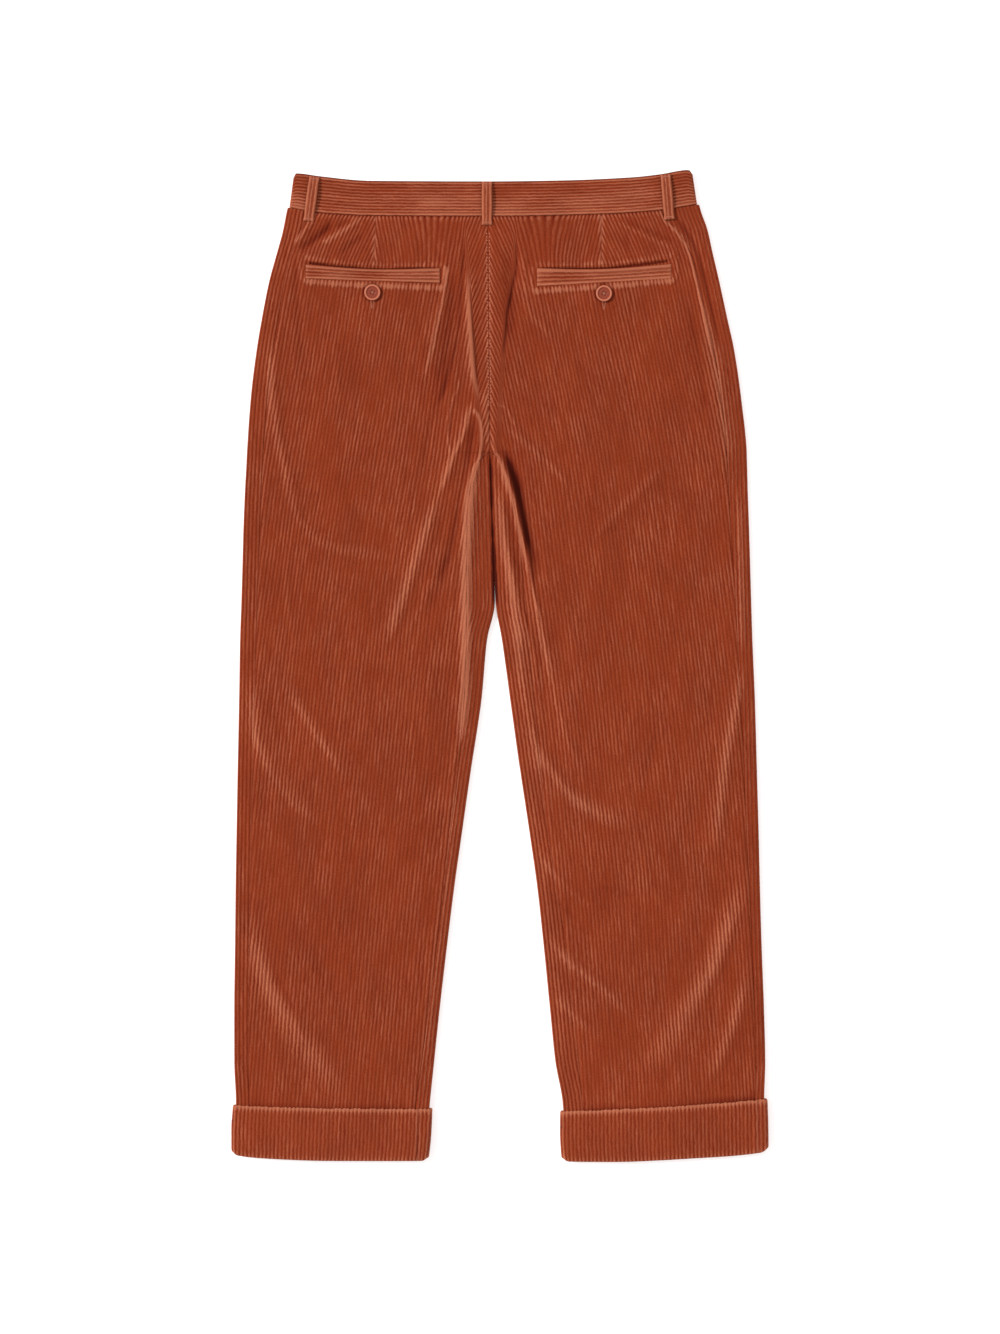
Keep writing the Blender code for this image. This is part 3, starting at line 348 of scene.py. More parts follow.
# How far the wales lean towards +X going up: degrees by the height.
LEFT_LEAN = curve(
    (460, 9.5), (245, 9.2), (165, 8.7), (85, 8), (5, 6.7), (-75, 6.1), (-235, 5.5), (-315, 4.8), (-490, 4.4)
)
RIGHT_LEAN = curve(
    (460, -12.5), (325, -12.5), (245, -10.2), (165, -7.6), (5, -7), (-75, -6), (-235, -5.3), (-315, -3.9),
    (-490, -3.3)
)


# ---- curves and noise


def read(table: Sequence[NamedTuple], at: Value, column: str = "value") -> Value:
    """Reads a table on a curve that never overshoots its rows.

    Args:
        table: rows whose first column says where they stand, in any order.
        at: where to read.
        column: the column to read.

    Returns:
        The values there, held at the end rows outside the table.
    """
    places = [row[0] for row in table]
    order = np.argsort(places)
    x = np.asarray(places, float)[order]
    v = np.asarray([getattr(row, column) for row in table], float)[order]
    at = np.clip(np.asarray(at, float), x[0], x[-1])
    step = np.diff(x)
    rise = np.diff(v) / step
    slope = np.zeros(len(x))
    slope[0], slope[-1] = rise[0], rise[-1]
    same_way = rise[:-1] * rise[1:] > 0
    mean = 2 * rise[:-1] * rise[1:] / np.where(same_way, rise[:-1] + rise[1:], 1)
    slope[1:-1] = np.where(same_way, mean, 0)
    i = np.clip(np.searchsorted(x, at) - 1, 0, len(step) - 1)
    t = (at - x[i]) / step[i]
    start = v[i] * (1 + 2 * t) * (1 - t) ** 2 + v[i + 1] * t * t * (3 - 2 * t)
    bend = slope[i] * t * (1 - t) ** 2 - slope[i + 1] * t * t * (1 - t)
    return start + bend * step[i]


def join(*parts: Sequence[float]) -> Array:
    """The parts one after another."""
    return np.concatenate(parts)


def columns(*values: Value) -> Array:
    """A table from its columns, each an array or one number for all of its rows."""
    return np.stack(np.broadcast_arrays(*values), axis=1)


def ease(share: Value) -> Value:
    """0 to 1 with level ends."""
    share = np.clip(share, 0, 1)
    return share * share * (3 - 2 * share)


def bell(distance: Value, width: float) -> Value:
    """1 at no distance, falling to nothing over about twice the width."""
    return np.exp(-((distance / width) ** 2))


@dataclass(frozen=True)
class Unevenness:
    """Smooth seeded lumps, as in cloth that has been worn and laid down by hand."""

    seed: int
    cell: float
    size: int = 64

    def at(self, x: Value, y: Value) -> Value:
        """The height of the lumps, about -1 to 1, at points given in millimetres."""
        lattice = np.random.default_rng(self.seed).uniform(-1, 1, (self.size, self.size))
        across, along = np.broadcast_arrays(np.divide(x, self.cell), np.divide(y, self.cell))
        i, j = np.floor(across).astype(int), np.floor(along).astype(int)
        u, v = ease(across - i), ease(along - j)

        def row(number: Array) -> Array:
            """The lumps on one row of the lattice."""
            line = number % self.size
            return lattice[i % self.size, line] * (1 - u) + lattice[(i + 1) % self.size, line] * u

        return row(j) * (1 - v) + row(j + 1) * v


BROAD_LUMPS = Unevenness(seed=11, cell=34)
SMALL_LUMPS = Unevenness(seed=23, cell=13)
WALE_WANDER = Unevenness(seed=37, cell=46)
PUCKER = Unevenness(seed=53, cell=7)
BRISTLE = Unevenness(seed=71, cell=2.1)


def crease_rise(crease: Crease, x: Value, y: Value) -> Array:
    """How far one crease lifts the cloth at each point."""
    x, y = np.broadcast_arrays(x, y)
    corners = np.reshape(crease.path, (-1, 2))
    low, high = corners.min(axis=0) - 3 * crease.width, corners.max(axis=0) + 3 * crease.width
    beside = (x > low[0]) & (x < high[0]) & (y > low[1]) & (y < high[1])
    rise = np.zeros(x.shape)
    if not beside.any():
        return rise
    px, py = x[beside], y[beside]
    lengths = [math.dist(a, b) for a, b in zip(corners, corners[1:])]
    total = sum(lengths)
    nearest = np.full(px.shape, np.inf)
    along = np.zeros(px.shape)
    passed = 0
    for (ax, ay), (bx, by), length in zip(corners, corners[1:], lengths):
        share = np.clip(((px - ax) * (bx - ax) + (py - ay) * (by - ay)) / length**2, 0, 1)
        away = np.hypot(px - ax - share * (bx - ax), py - ay - share * (by - ay))
        closer = away < nearest
        nearest = np.where(closer, away, nearest)
        along = np.where(closer, (passed + share * length) / total, along)
        passed += length
    fade = ease(along / crease.fade) * ease((1 - along) / crease.fade)
    rise[beside] = crease.height * fade * bell(nearest, crease.width)
    return rise


def rise_of(creases: Sequence[Crease], x: Value, y: Value) -> Array:
    """The sum of several creases at each point."""
    return sum(crease_rise(crease, x, y) for crease in creases)


# ---- the form of the legs


@dataclass(frozen=True)
class LegForm:
    """The lie of one leg: its edges, its seams and the height of its upper layer."""

    side: Side
    rows: tuple[LegRow, ...]
    lean: tuple[Station, ...]
    cuff_top: tuple[Station, ...]
    hem: tuple[Station, ...]

    @property
    def word(self) -> str:
        """The side's name, as the names of the pieces have it."""
        return self.side.name.lower()

    def column(self, name: str, y: Value) -> Value:
        """One column of the leg's table at the height y."""
        return read(self.rows, y, name)

    def relief(self, x: Value, y: Value) -> Array:
        """How far the upper layer stands above its level, as in the solids."""
        inner = self.column("inner", y)
        share = np.clip((x - inner) / (self.column("outer", y) - inner), 0, 1)
        full = 1 - (2 * share - 1) ** 4
        full = np.where((y > SEAT_FOOT) & (share < 0.5), 1, full)
        deepest = LEAST_RISE - TROUGH_DEPTH - LEG_FULLNESS * full
        return LEG_FULLNESS * full + np.maximum(rise_of(FOLDS, x, y), deepest)

    def worn_relief(self, x: Value, y: Value) -> Array:
        """The relief with the creases and lumps that the solids leave out."""
        to_edge = np.minimum(np.abs(x - self.column("outer", y)), np.abs(x - self.column("inner", y)))
        lumps = 0.42 * BROAD_LUMPS.at(x, y * 0.7) + 0.16 * SMALL_LUMPS.at(x, y * 0.8)
        added = ease(to_edge / 12) * (lumps + rise_of(SMALL_FOLDS, x, y))
        added = added + ease(to_edge / 3) * rise_of(CREASES, x, y) + FOLD_GAIN * rise_of(FOLDS, x, y)
        return np.maximum(self.relief(x, y) + added, LOWEST_WORN)

    def nap_and_painted_light(self, x: Value, y: Value) -> Array:
        """The painted light on the folds and creases: above 0 a painted highlight on tops and on slopes that
        face -X, below 0 painted shade.
        """

        def broad(at: Value) -> Array:
            """The soft folds."""
            return (1 + FOLD_GAIN) * rise_of(FOLDS, at, y) + rise_of(SMALL_FOLDS, at, y)

        beside, soft = x + LIGHT_SLOPE_STEP, broad(x)
        slope = (broad(beside) + rise_of(CREASES, beside, y) - soft - rise_of(CREASES, x, y)) / LIGHT_SLOPE_STEP
        shares = [crease.painted_light_strength * min(1, SHARP_CREASE / crease.width) for crease in CREASES]
        sharp = sum(crease_rise(crease, x, y) * share for crease, share in zip(CREASES, shares))
        return PAINTED_LIGHT_ON_SLOPE * slope + PAINTED_LIGHT_ON_FOLD * soft + PAINTED_LIGHT_ON_CREST * sharp

    def opened(self, x: Value, y: Value) -> Array:
        """How far the wales stand up: little where the cloth lies flat, more on folds."""
        patch = 0.52 + 0.3 * BROAD_LUMPS.at(x * 1.7 + 50, y * 0.8) + 0.12 * SMALL_LUMPS.at(x, y * 0.6)
        return np.clip(patch + 0.9 * np.abs(self.nap_and_painted_light(x, y)), 0.22, 1.1)

    def top(self, x: Value, y: Value) -> Array:
        """The outer face of the upper layer, as in the solids."""
        return read(OVER_LEVEL, y) + self.relief(x, y)

    def worn_top(self, x: Value, y: Value) -> Array:
        """The outer face of the upper layer with its creases."""
        return read(OVER_LEVEL, y) + self.worn_relief(x, y)

    def sewn_height(self, x: Array, y: Value, front: Value) -> Array:
        """A nominal height moved to follow the waist seam and the hem."""
        at_waist = ease((y - WAIST_BEND_FROM) / (WAIST_NOMINAL - WAIST_BEND_FROM))
        moved = y + at_waist * (waist_height(x, front) - SEAM_GAP / 2 - WAIST_NOMINAL)
        at_hem = ease((HEM_BEND_FROM - y) / (HEM_BEND_FROM - HEM_NOMINAL))
        return moved + at_hem * (read(self.hem, x) + CUFF_RETURN + HEM_CLEARANCE - HEM_NOMINAL)

    def lean_shift(self, y: float) -> float:
        """How far a wale has moved towards +X between Y = 0 and the height y."""
        heights = np.linspace(HEM_NOMINAL, WAIST_NOMINAL, 400)
        slope = np.tan(np.radians(read(self.lean, heights)))
        steps = np.diff(heights) * (slope[1:] + slope[:-1]) / 2
        moved = join([0], np.cumsum(steps))
        return np.interp(y, heights, moved - np.interp(0, heights, moved))


LEFT_LEG = LegForm(Side.LEFT, LEFT_ROWS, LEFT_LEAN, LEFT_CUFF_TOP, LEFT_HEM)
RIGHT_LEG = LegForm(Side.RIGHT, RIGHT_ROWS, RIGHT_LEAN, RIGHT_CUFF_TOP, RIGHT_HEM)
CENTRE = LEFT_ROWS[0].inner


def waist_height(x: Array, front: Value) -> Array:
    """The waist seam's height: curved across the back, straight on each front."""
    left, right = WAIST_SEAM[0], WAIST_SEAM[-1]
    side_x = np.where(x < CENTRE, left.at, right.at)
    side_y = np.where(x < CENTRE, left.value, right.value)
    middle = read(WAIST_SEAM, CENTRE)
    straight = middle + (x - CENTRE) / (side_x - CENTRE) * (side_y - middle)
    return straight * front + read(WAIST_SEAM, x) * (1 - front)


def front_share(z: Array, height: float, wall: float) -> Array:
    """1 in the lower layer, 0 in the upper one and between them on the folds."""
    return np.clip((height - wall - z) / (height - 2 * wall), 0, 1)


# ---- wales


@dataclass(frozen=True)
class Wale:
    """The ribs of the cloth: their pitch, their height and the points across one.

    A stop is a share of the pitch from the groove, with its share of the height.
    """

    pitch: float
    height: float
    stops: Pairs = ((0, 0), (0.13, 0.62), (0.34, 1), (0.66, 1), (0.87, 0.62))

    def samples(self, first: float, last: float) -> tuple[Array, Array]:
        """The stops that lie between two wale counts.

        Args:
            first: the lower wale count.
            last: the higher wale count.

        Returns:
            A whole number for each stop, the same in every row, and its wale count.
        """
        wales = np.arange(math.floor(first) - 1, math.ceil(last) + 1)
        places = np.array([place for place, _ in self.stops])
        counts = (wales[:, None] + places[None, :]).ravel()
        keys = np.arange(len(counts)) + int(wales[0]) * len(places)
        kept = (counts >= first) & (counts <= last)
        return keys[kept], counts[kept]

    def dip(self, count: Value) -> Value:
        """How far the cloth lies below the crests at a wale count."""
        places, shares = zip(*self.stops, (1, self.stops[0][1]))
        return self.height * (1 - np.interp(np.mod(count, 1), places, shares))


PANEL_WALE = Wale(pitch=3.8, height=0.55)
BAND_WALE = Wale(pitch=3.2, height=0.75)


@dataclass(frozen=True)
class Dart:
    """A dart from the waist seam down to its tip, and how it turns the wales."""

    top: Place
    tip: Place
    outer_turn: float
    inner_turn: float

    def line(self, y: Value) -> Value:
        """The dart's X at the height y."""
        return self.tip.x + (y - self.tip.y) / (self.top.y - self.tip.y) * (self.top.x - self.tip.x)

    def shift(self, x: Array, y: float, side: Side, outside: bool) -> Array:
        """How far the closed dart has moved the wales towards +X."""
        away = np.abs(x - self.line(y))
        above = y - self.tip.y
        lifted = (above + np.sqrt(above**2 + (0.35 * away) ** 2)) / 2
        if outside:
            return -side.value * math.tan(math.radians(self.outer_turn)) * lifted
        fade = 1 - ease((away - 28) / 55)
        return side.value * math.tan(math.radians(self.inner_turn)) * lifted * fade


# Where a crease on each side of the centre seam hides cloth: X by the height.
CENTRE_CREASES = {
    Side.LEFT: curve((452, -37), (400, -32), (345, -29), (285, -25), (240, -20), (214, -18)),
    Side.RIGHT: curve((452, 17), (400, 13), (345, 5.5), (290, 2), (240, -1), (214, -2)),
}
CENTRE_LEAN = 12.0
CENTRE_FADE = 30.0


@dataclass(frozen=True)
class Grain:
    """Counts the wales across one back panel."""

    leg: LegForm
    dart: Dart
    wale: Wale

    def count(self, x: Array, y: float, outside: bool) -> Array:
        """The wale count at points on one side of the dart."""
        moved = self.leg.lean_shift(y) + self.dart.shift(x, y, self.leg.side, outside)
        moved = moved + self._hidden_by_crease(x, y)
        return (x - moved) / self.wale.pitch + 0.35 * WALE_WANDER.at(x, y * 0.45)

    def _hidden_by_crease(self, x: Array, y: float) -> Array:
        """The shift of the wales beside the centre seam, which lean more than the rest.

        The cloth that makes up for it is hidden in a crease on each side.
        """
        side = self.leg.side.value
        crease = read(CENTRE_CREASES[self.leg.side], y)
        beside_seam = 1 - ease((side * (x - crease) + 2.5) / 5)
        fade = ease((y - CROTCH + CENTRE_FADE) / CENTRE_FADE)
        return side * math.tan(math.radians(CENTRE_LEAN)) * (WAIST_NOMINAL - y) * beside_seam * fade


# ---- meshes


class Row(NamedTuple):
    """One row of points across a piece: a name for each and how far along it lies."""

    tokens: list[Hashable]
    along: Array
    first: int


def in_scene(name: str, data: bpy.types.ID) -> Object:
    """An object with that data, linked to the scene."""
    made = bpy.data.objects.new(name, data)
    bpy.context.scene.collection.objects.link(made)
    return made


def taken_mesh(piece: Object) -> bpy.types.Mesh:
    """The plain mesh of an object and its modifiers, in place of the object."""
    graph = bpy.context.evaluated_depsgraph_get()
    mesh = bpy.data.meshes.new_from_object(piece.evaluated_get(graph))
    bpy.data.objects.remove(piece, do_unlink=True)
    return mesh


@dataclass
class MeshDraft:
    """The points of one piece, with their cloth coordinates, and its faces."""

    name: str
    points: list[Array] = field(default_factory=list)
    cloth: list[Array] = field(default_factory=list)
    wear: list[Array] = field(default_factory=list)
    hollow: list[Array] = field(default_factory=list)
    faces: list[tuple[int, ...]] = field(default_factory=list)
    count: int = 0

    def add(self, xyz: Array, cloth: Array, wear: Value = 0, hollow: Value = 0) -> int:
        """Adds points.

        Args:
            xyz: their places.
            cloth: the wale count and the length along the wale of each.
            wear: how pale the pile is there, from wear and from painted highlight, 0 to 1.
            hollow: how far painted shade darkens the pile there, 0 to 1.

        Returns:
            The number of the first of them.
        """
        first, amount = self.count, len(xyz)
        self.points.append(xyz)
        self.cloth.append(cloth)
        self.wear.append(np.broadcast_to(wear, amount))
        self.hollow.append(np.broadcast_to(hollow, amount))
        self.count += amount
        return first

    def zip_rows(self, above: Row, below: Row, flip: bool = False) -> None:
        """Joins two rows, point to point where they share a name and by fans between."""
        place = {token: i for i, token in enumerate(below.tokens)}
        anchors = [(0, 0)]
        for i, token in enumerate(above.tokens):
            j = place.get(token)
            if j is not None and i > anchors[-1][0] and j > anchors[-1][1]:
                anchors.append((i, j))
        last = (len(above.tokens) - 1, len(below.tokens) - 1)
        if anchors[-1] != last:
            anchors.append(last)
        for (i0, j0), (i1, j1) in zip(anchors, anchors[1:]):
            if i1 - i0 == 1 and j1 - j0 == 1:
                face = (above.first + i0, below.first + j0, below.first + j1, above.first + i1)
                self.faces.append(face[::-1] if flip else face)
            else:
                self._fan(above, below, (i0, i1), (j0, j1), flip)

    def _fan(self, above: Row, below: Row, span: tuple[int, int], under: tuple[int, int], flip: bool) -> None:
        """Fills the space between two stretches of rows with triangles."""
        high, low = (
            (part - part[0]) / (part[-1] - part[0]) if part[-1] != part[0] else part * 0
            for part in (above.along[span[0] : span[1] + 1], below.along[under[0] : under[1] + 1])
        )
        i, j = span[0], under[0]
        while i < span[1] or j < under[1]:
            next_high = high[i - span[0] + 1] if i < span[1] else math.inf
            next_low = low[j - under[0] + 1] if j < under[1] else math.inf
            if next_low <= next_high:
                face = (above.first + i, below.first + j, below.first + j + 1)
                j += 1
            else:
                face = (above.first + i, below.first + j, above.first + i + 1)
                i += 1
            self.faces.append(face[::-1] if flip else face)

    def weave(
        self, lines: Sequence[Line], ring: bool = False, flip: bool = False, filled: bool = False
    ) -> None:
        """Adds lines of points and joins each to the next in quads.

        Args:
            lines: what add takes for each line, all with as many points.
            ring: whether the last point of a line meets its first.
            flip: whether the faces point the other way.
            filled: whether a face fills the first line and another the last.
        """
        for line in lines:
            self.add(*line)
        number = np.arange(self.count).reshape(len(lines), -1)
        beside = np.roll(number, -1, axis=1) if ring else number[:, 1:]
        here = number if ring else number[:, :-1]
        quads = np.stack([here[:-1], here[1:], beside[1:], beside[:-1]], axis=-1).reshape(-1, 4)
        self.faces.extend(tuple(quad) for quad in (quads[:, ::-1] if flip else quads).tolist())
        if filled:
            ends = (number[0], number[-1][::-1])
            self.faces.extend(tuple((end[::-1] if flip else end).tolist()) for end in ends)

    def build(self, material: Material) -> Object:
        """Makes the piece's object, smooth shaded, with its cloth map and masks."""
        mesh = bpy.data.meshes.new(self.name)
        mesh.from_pydata((join(*self.points) * MM).tolist(), [], self.faces)
        mesh.shade_smooth()
        corners = np.empty(len(mesh.loops), np.int32)
        mesh.loops.foreach_get("vertex_index", corners)
        cloth_map = mesh.uv_layers.new(name="cloth")
        cloth_map.data.foreach_set("uv", join(*self.cloth)[corners].astype(np.float32).ravel())
        for name, values in (("wear", self.wear), ("hollow", self.hollow)):
            mask = mesh.attributes.new(name, "FLOAT", "POINT")
            mask.data.foreach_set("value", np.clip(join(*values), 0, 1).astype(np.float32))
        mesh.materials.append(material)
        mesh.validate()
        return in_scene(self.name, mesh)


def woven(name: str, lines: Sequence[Line], material: Material, **how: bool) -> Object:
    """An object woven from lines, with the options of MeshDraft.weave."""
    draft = MeshDraft(name)
    draft.weave(lines, **how)
    return draft.build(material)


def enlist(piece: Object, slot: str, *nodes: str) -> Object:
    """Puts a piece on the garment's body in place of its solids."""
    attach(piece, BODY)
    if nodes:
        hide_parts(*nodes)
    LOG.info("%s: %d faces for %s", piece.name, len(piece.data.polygons), ", ".join(nodes) or "the scene")
    return piece


# ---- finishes


def linear(red: int, green: int, blue: int) -> Colour:
    """A colour given as a screen shows it, in the units of a shader."""
    shares = (value / 255 for value in (red, green, blue))
    light = (share / 12.92 if share <= 0.04045 else ((share + 0.055) / 1.055) ** 2.4 for share in shares)
    return (*light, 1)


@dataclass
class NodeKit:
    """Adds nodes to a tree, sets them and links them."""

    tree: Tree

    def feed(self, node: bpy.types.Node, inputs: dict[str | int, object]) -> None:
        """Sets each of the node's inputs to a value, or links it to the socket given."""
        for name, value in inputs.items():
            if isinstance(value, Socket):
                self.tree.links.new(value, node.inputs[name])
            else:
                node.inputs[name].default_value = value

    def add(self, kind: str, inputs: dict[str | int, object] | None = None, **settings: object) -> Sequence:
        """Adds a node.

        Args:
            kind: the node's type.
            inputs: a value, or the socket to link, for each input.
            settings: what to set on the node itself.

        Returns:
            The node's outputs.
        """
        node = self.tree.nodes.new(kind)
        for name, value in settings.items():
            setattr(node, name, value)
        self.feed(node, inputs or {})
        return node.outputs

    def maths(self, operation: str, *terms: object) -> Socket:
        """One sum between sockets or numbers."""
        return self.add("ShaderNodeMath", dict(enumerate(terms)), operation=operation)[0]

    def ramp(self, value: object, low: float, high: float) -> Socket:
        """A value read between two limits, as 0 to 1."""
        return self.add("ShaderNodeMapRange", {"Value": value, "From Min": low, "From Max": high})["Result"]

    def blend(self, share: object, first: object, second: object, kind: str = "MIX") -> Socket:
        """Two colours mixed by a share."""
        inputs = {"Factor": share, "A": first, "B": second}
        return self.add("ShaderNodeMix", inputs, data_type="RGBA", blend_type=kind)["Result"]

    def noise(self, vector: object, stretch: Sequence[float], scale: float, detail: float) -> Socket:
        """Noise on a vector that is stretched first along X and Y, as 0 to 1."""
        placed = self.add("ShaderNodeMapping", {"Vector": vector, "Scale": (*stretch, 1)})["Vector"]
        inputs = {"Vector": placed, "Scale": scale, "Detail": detail, "Roughness": 0.6}
        return self.add("ShaderNodeTexNoise", inputs)["Fac"]

    def bump(self, strength: float, distance: float, height: object) -> Socket:
        """The normal that a height gives, with its distance in millimetres."""
        inputs = {"Strength": strength, "Distance": distance * MM, "Height": height}
        return self.add("ShaderNodeBump", inputs)["Normal"]

    def mask(self, name: str) -> Socket:
        """One of the masks on the mesh."""
        return self.add("ShaderNodeAttribute", attribute_name=name)["Fac"]

    def place(self) -> Socket:
        """Where a point lies on the object."""
        return self.add("ShaderNodeTexCoord")["Object"]


def new_material(name: str) -> tuple[Material, NodeKit, bpy.types.Node]:
    material = bpy.data.materials.new(name)
    material.use_nodes = True
    return material, NodeKit(material.node_tree), material.node_tree.nodes["Principled BSDF"]


def add_sockets(group: Tree, way: str, sockets: dict[str, str]) -> dict[str, str]:
    """Gives a group inputs or outputs, by name and type.

    Args:
        group: the node group.
        way: INPUT or OUTPUT.
        sockets: the type of each socket by its name.

    Returns:
        The identifier of each socket by its name.
    """
    made = {}
    for name, kind in sockets.items():
        socket = group.interface.new_socket(name=name, in_out=way, socket_type=f"NodeSocket{kind}")
        made[name] = socket.identifier
    return made


@dataclass(frozen=True)
class PileFinish:
    """Cut pile on a woven ground: its colours, its fibres and its sheen."""

    name: str
    base: Colour
    # The pale colour is for wear and painted highlights; the deep colour is for painted shade.
    pale: Colour
    deep: Colour
    sheen: Colour
    sheen_weight: float
    sheen_roughness: float
    fibre_depth: float

    def material(self) -> Material:
        """The cloth's material, with the pile group placed in it."""
        material, kit, shader = new_material(self.name)
        inputs = {
            "Base": self.base, "Pale": self.pale, "Deep": self.deep,
            "Cloth": kit.add("ShaderNodeUVMap", uv_map="cloth")["UV"], "Place": kit.place(),
            "Wear": kit.mask("wear"), "Hollow": kit.mask("hollow"),
        }
        pile = kit.add("ShaderNodeGroup", inputs, node_tree=pile_group())
        kit.feed(shader, {
            "Base Color": pile["Colour"], "Roughness": pile["Roughness"], "Metallic": 0,
            "Normal": kit.bump(0.55, self.fibre_depth, pile["Height"]), "Specular IOR Level": 0.12,
            "Sheen Weight": self.sheen_weight, "Sheen Roughness": self.sheen_roughness,
            "Sheen Tint": self.sheen,
        })
        return material


@dataclass(frozen=True)
class ResinFinish:
    """Dyed resin with a satin polish, a slight cloud in its colour and a painted highlight on its rim."""

    name: str
    base: Colour
    cloud: Colour
    # The colour of the painted highlight on the raised rim.
    rim: Colour
    roughness: float

    def material(self) -> Material:
        """The button's material."""
        material, kit, shader = new_material(self.name)
        cloud = kit.add("ShaderNodeTexNoise", {"Vector": kit.place(), "Scale": 420, "Detail": 3})["Fac"]
        limits = {"Value": cloud, "To Min": self.roughness - 0.08, "To Max": self.roughness + 0.12}
        kit.feed(shader, {
            # The rim colour is painted where the mask marks the top of the rim, as a highlight.
            "Base Color": kit.blend(kit.mask("wear"), kit.blend(cloud, self.base, self.cloud), self.rim),
            "Roughness": kit.add("ShaderNodeMapRange", limits)["Result"],
            "Normal": kit.bump(0.15, 0.05, cloud),
            "Specular IOR Level": 0.3, "Coat Weight": 0.08, "Coat Roughness": 0.3,
        })
        return material


@dataclass(frozen=True)
class ThreadFinish:
    """Twisted sewing thread, with its plies as a fine slanting bump."""

    name: str
    base: Colour
    shade: Colour

    def material(self) -> Material:
        """The thread's material."""
        material, kit, shader = new_material(self.name)
        twist = {"Vector": kit.place(), "Scale": 700, "Distortion": 1.5}
        plies = kit.add("ShaderNodeTexWave", twist, bands_direction="DIAGONAL")["Fac"]
        kit.feed(shader, {
            "Base Color": kit.blend(plies, self.shade, self.base), "Roughness": 0.6,
            "Normal": kit.bump(0.4, 0.08, plies), "Sheen Weight": 0.3,
        })
        return material


def pile_group() -> Tree:
    """The corduroy effect, built once.

    Returns:
        A group that turns the cloth map, the place and the masks into a colour, a
        roughness and a height for the fibres.
    """
    found = bpy.data.node_groups.get("corduroy pile")
    if found:
        return found
    group = bpy.data.node_groups.new("corduroy pile", "ShaderNodeTree")
    add_sockets(group, "INPUT", {"Cloth": "Vector", "Place": "Vector"})
    add_sockets(group, "INPUT", {"Base": "Color", "Pale": "Color", "Deep": "Color"})
    add_sockets(group, "INPUT", {"Wear": "Float", "Hollow": "Float"})
    add_sockets(group, "OUTPUT", {"Colour": "Color", "Roughness": "Float", "Height": "Float"})
    kit = NodeKit(group)
    noise, ramp, blend, maths = kit.noise, kit.ramp, kit.blend, kit.maths
    times, fitted = partial(maths, "MULTIPLY"), partial(maths, "MULTIPLY_ADD")
    most, least = partial(maths, "MAXIMUM"), partial(maths, "MINIMUM")
    given = kit.add("NodeGroupInput")
    cloth, place, wear, hollow = (given[name] for name in ("Cloth", "Place", "Wear", "Hollow"))

    wobble = noise(cloth, (0.9, 0.45), 1, 2)
    across = fitted(wobble, 0.6, kit.add("ShaderNodeSeparateXYZ", {0: cloth})["X"])
    beside = maths("SUBTRACT", maths("FRACT", maths("SUBTRACT", across, 0.3)), 0.5)
    groove = maths("POWER", times(maths("ABSOLUTE", beside), 2), 2.5)
    # A painted highlight along each wale, on its flank towards -X, which faces the key light.
    line = ramp(maths("ABSOLUTE", maths("ADD", beside, 0.12)), 0.34, 0.08)
    dashes = noise(cloth, (1.3, 0.14), 1.5, 2)
    strokes = noise(cloth, (1.1, 0.08), 1.9, 2)
    dots = noise(cloth, (1.5, 1.1), 1.9, 1)
    specks = noise(cloth, (2.1, 1.3), 1.9, 2)
    fibres = noise(cloth, (5, 3.4), 2.6, 3)
    streaks = noise(cloth, (0.95, 0.07), 1, 2)
    nap_and_painted_light = noise(place, (1, 0.6), 24, 3)
    patches = noise(place, (1, 0.45), 42, 2)

    streaked_wear_and_highlight = times(wear, fitted(streaks, 1.2, 0.6))
    opened = maths("ADD", fitted(ramp(patches, 0.4, 0.64), 0.45, 0.5), streaked_wear_and_highlight)
    broken = most(fitted(ramp(dashes, 0.56, 0.4), 0.72, 0.2), streaked_wear_and_highlight)
    # Painted shade in the grooves between the wales, broken into dashes, with dark dots.
    dark = most(times(times(groove, broken), opened), times(ramp(dots, 0.4, 0.28), 0.75))
    colour = blend(least(dark, 0.95), given["Base"], given["Deep"])
    # The painted highlights on the wales, and the pale of wear and painted highlight from the mask.
    pale = times(line, fitted(ramp(strokes, 0.38, 0.68), 0.44, 0.1))
    pale = times(pale, fitted(ramp(patches, 0.36, 0.62), 0.75, 0.4))
    pale = most(pale, most(times(line, times(streaked_wear_and_highlight, 1.8)), times(ramp(wear, 0.3, 0.85), 0.8)))
    colour = blend(least(pale, 0.95), colour, given["Pale"])
    # The painted shade mask darkens the colour towards the deep one.
    colour = blend(least(hollow, 1), colour, given["Deep"])
    light = times(fitted(streaks, 0.3, 0.85), fitted(nap_and_painted_light, 0.34, 0.83))
    light = times(times(light, fitted(fibres, 0.44, 0.78)), fitted(specks, 0.8, 0.6))
    # The painted shade mask also darkens the brightness factor.
    sunk = times(maths("POWER", least(hollow, 1), 2), 0.55)
    light = times(light, maths("SUBTRACT", 1, sunk))
    shade = kit.add("ShaderNodeCombineXYZ", {"X": light, "Y": light, "Z": light})[0]
    pile = fitted(specks, 0.6, times(fibres, 0.4))
    kit.add("NodeGroupOutput", {
        "Colour": blend(1, colour, shade, "MULTIPLY"),
        "Roughness": fitted(pile, 0.14, 0.8),
        "Height": fitted(groove, -0.35, times(pile, 1.2)),
    })
    return group


CORDUROY = PileFinish(
    name="corduroy pile",
    base=linear(135, 50, 21),
    pale=linear(182, 105, 76),
    deep=linear(108, 25, 5),
    sheen=linear(235, 150, 110),
    sheen_weight=0.12,
    sheen_roughness=0.45,
    fibre_depth=0.35,
)
RESIN = ResinFinish("dyed resin", linear(128, 46, 24), linear(152, 66, 40), linear(196, 112, 82), 0.5)
THREAD = ThreadFinish("sewing thread", linear(216, 132, 98), linear(178, 94, 62))


# ---- pockets and darts on the cloth


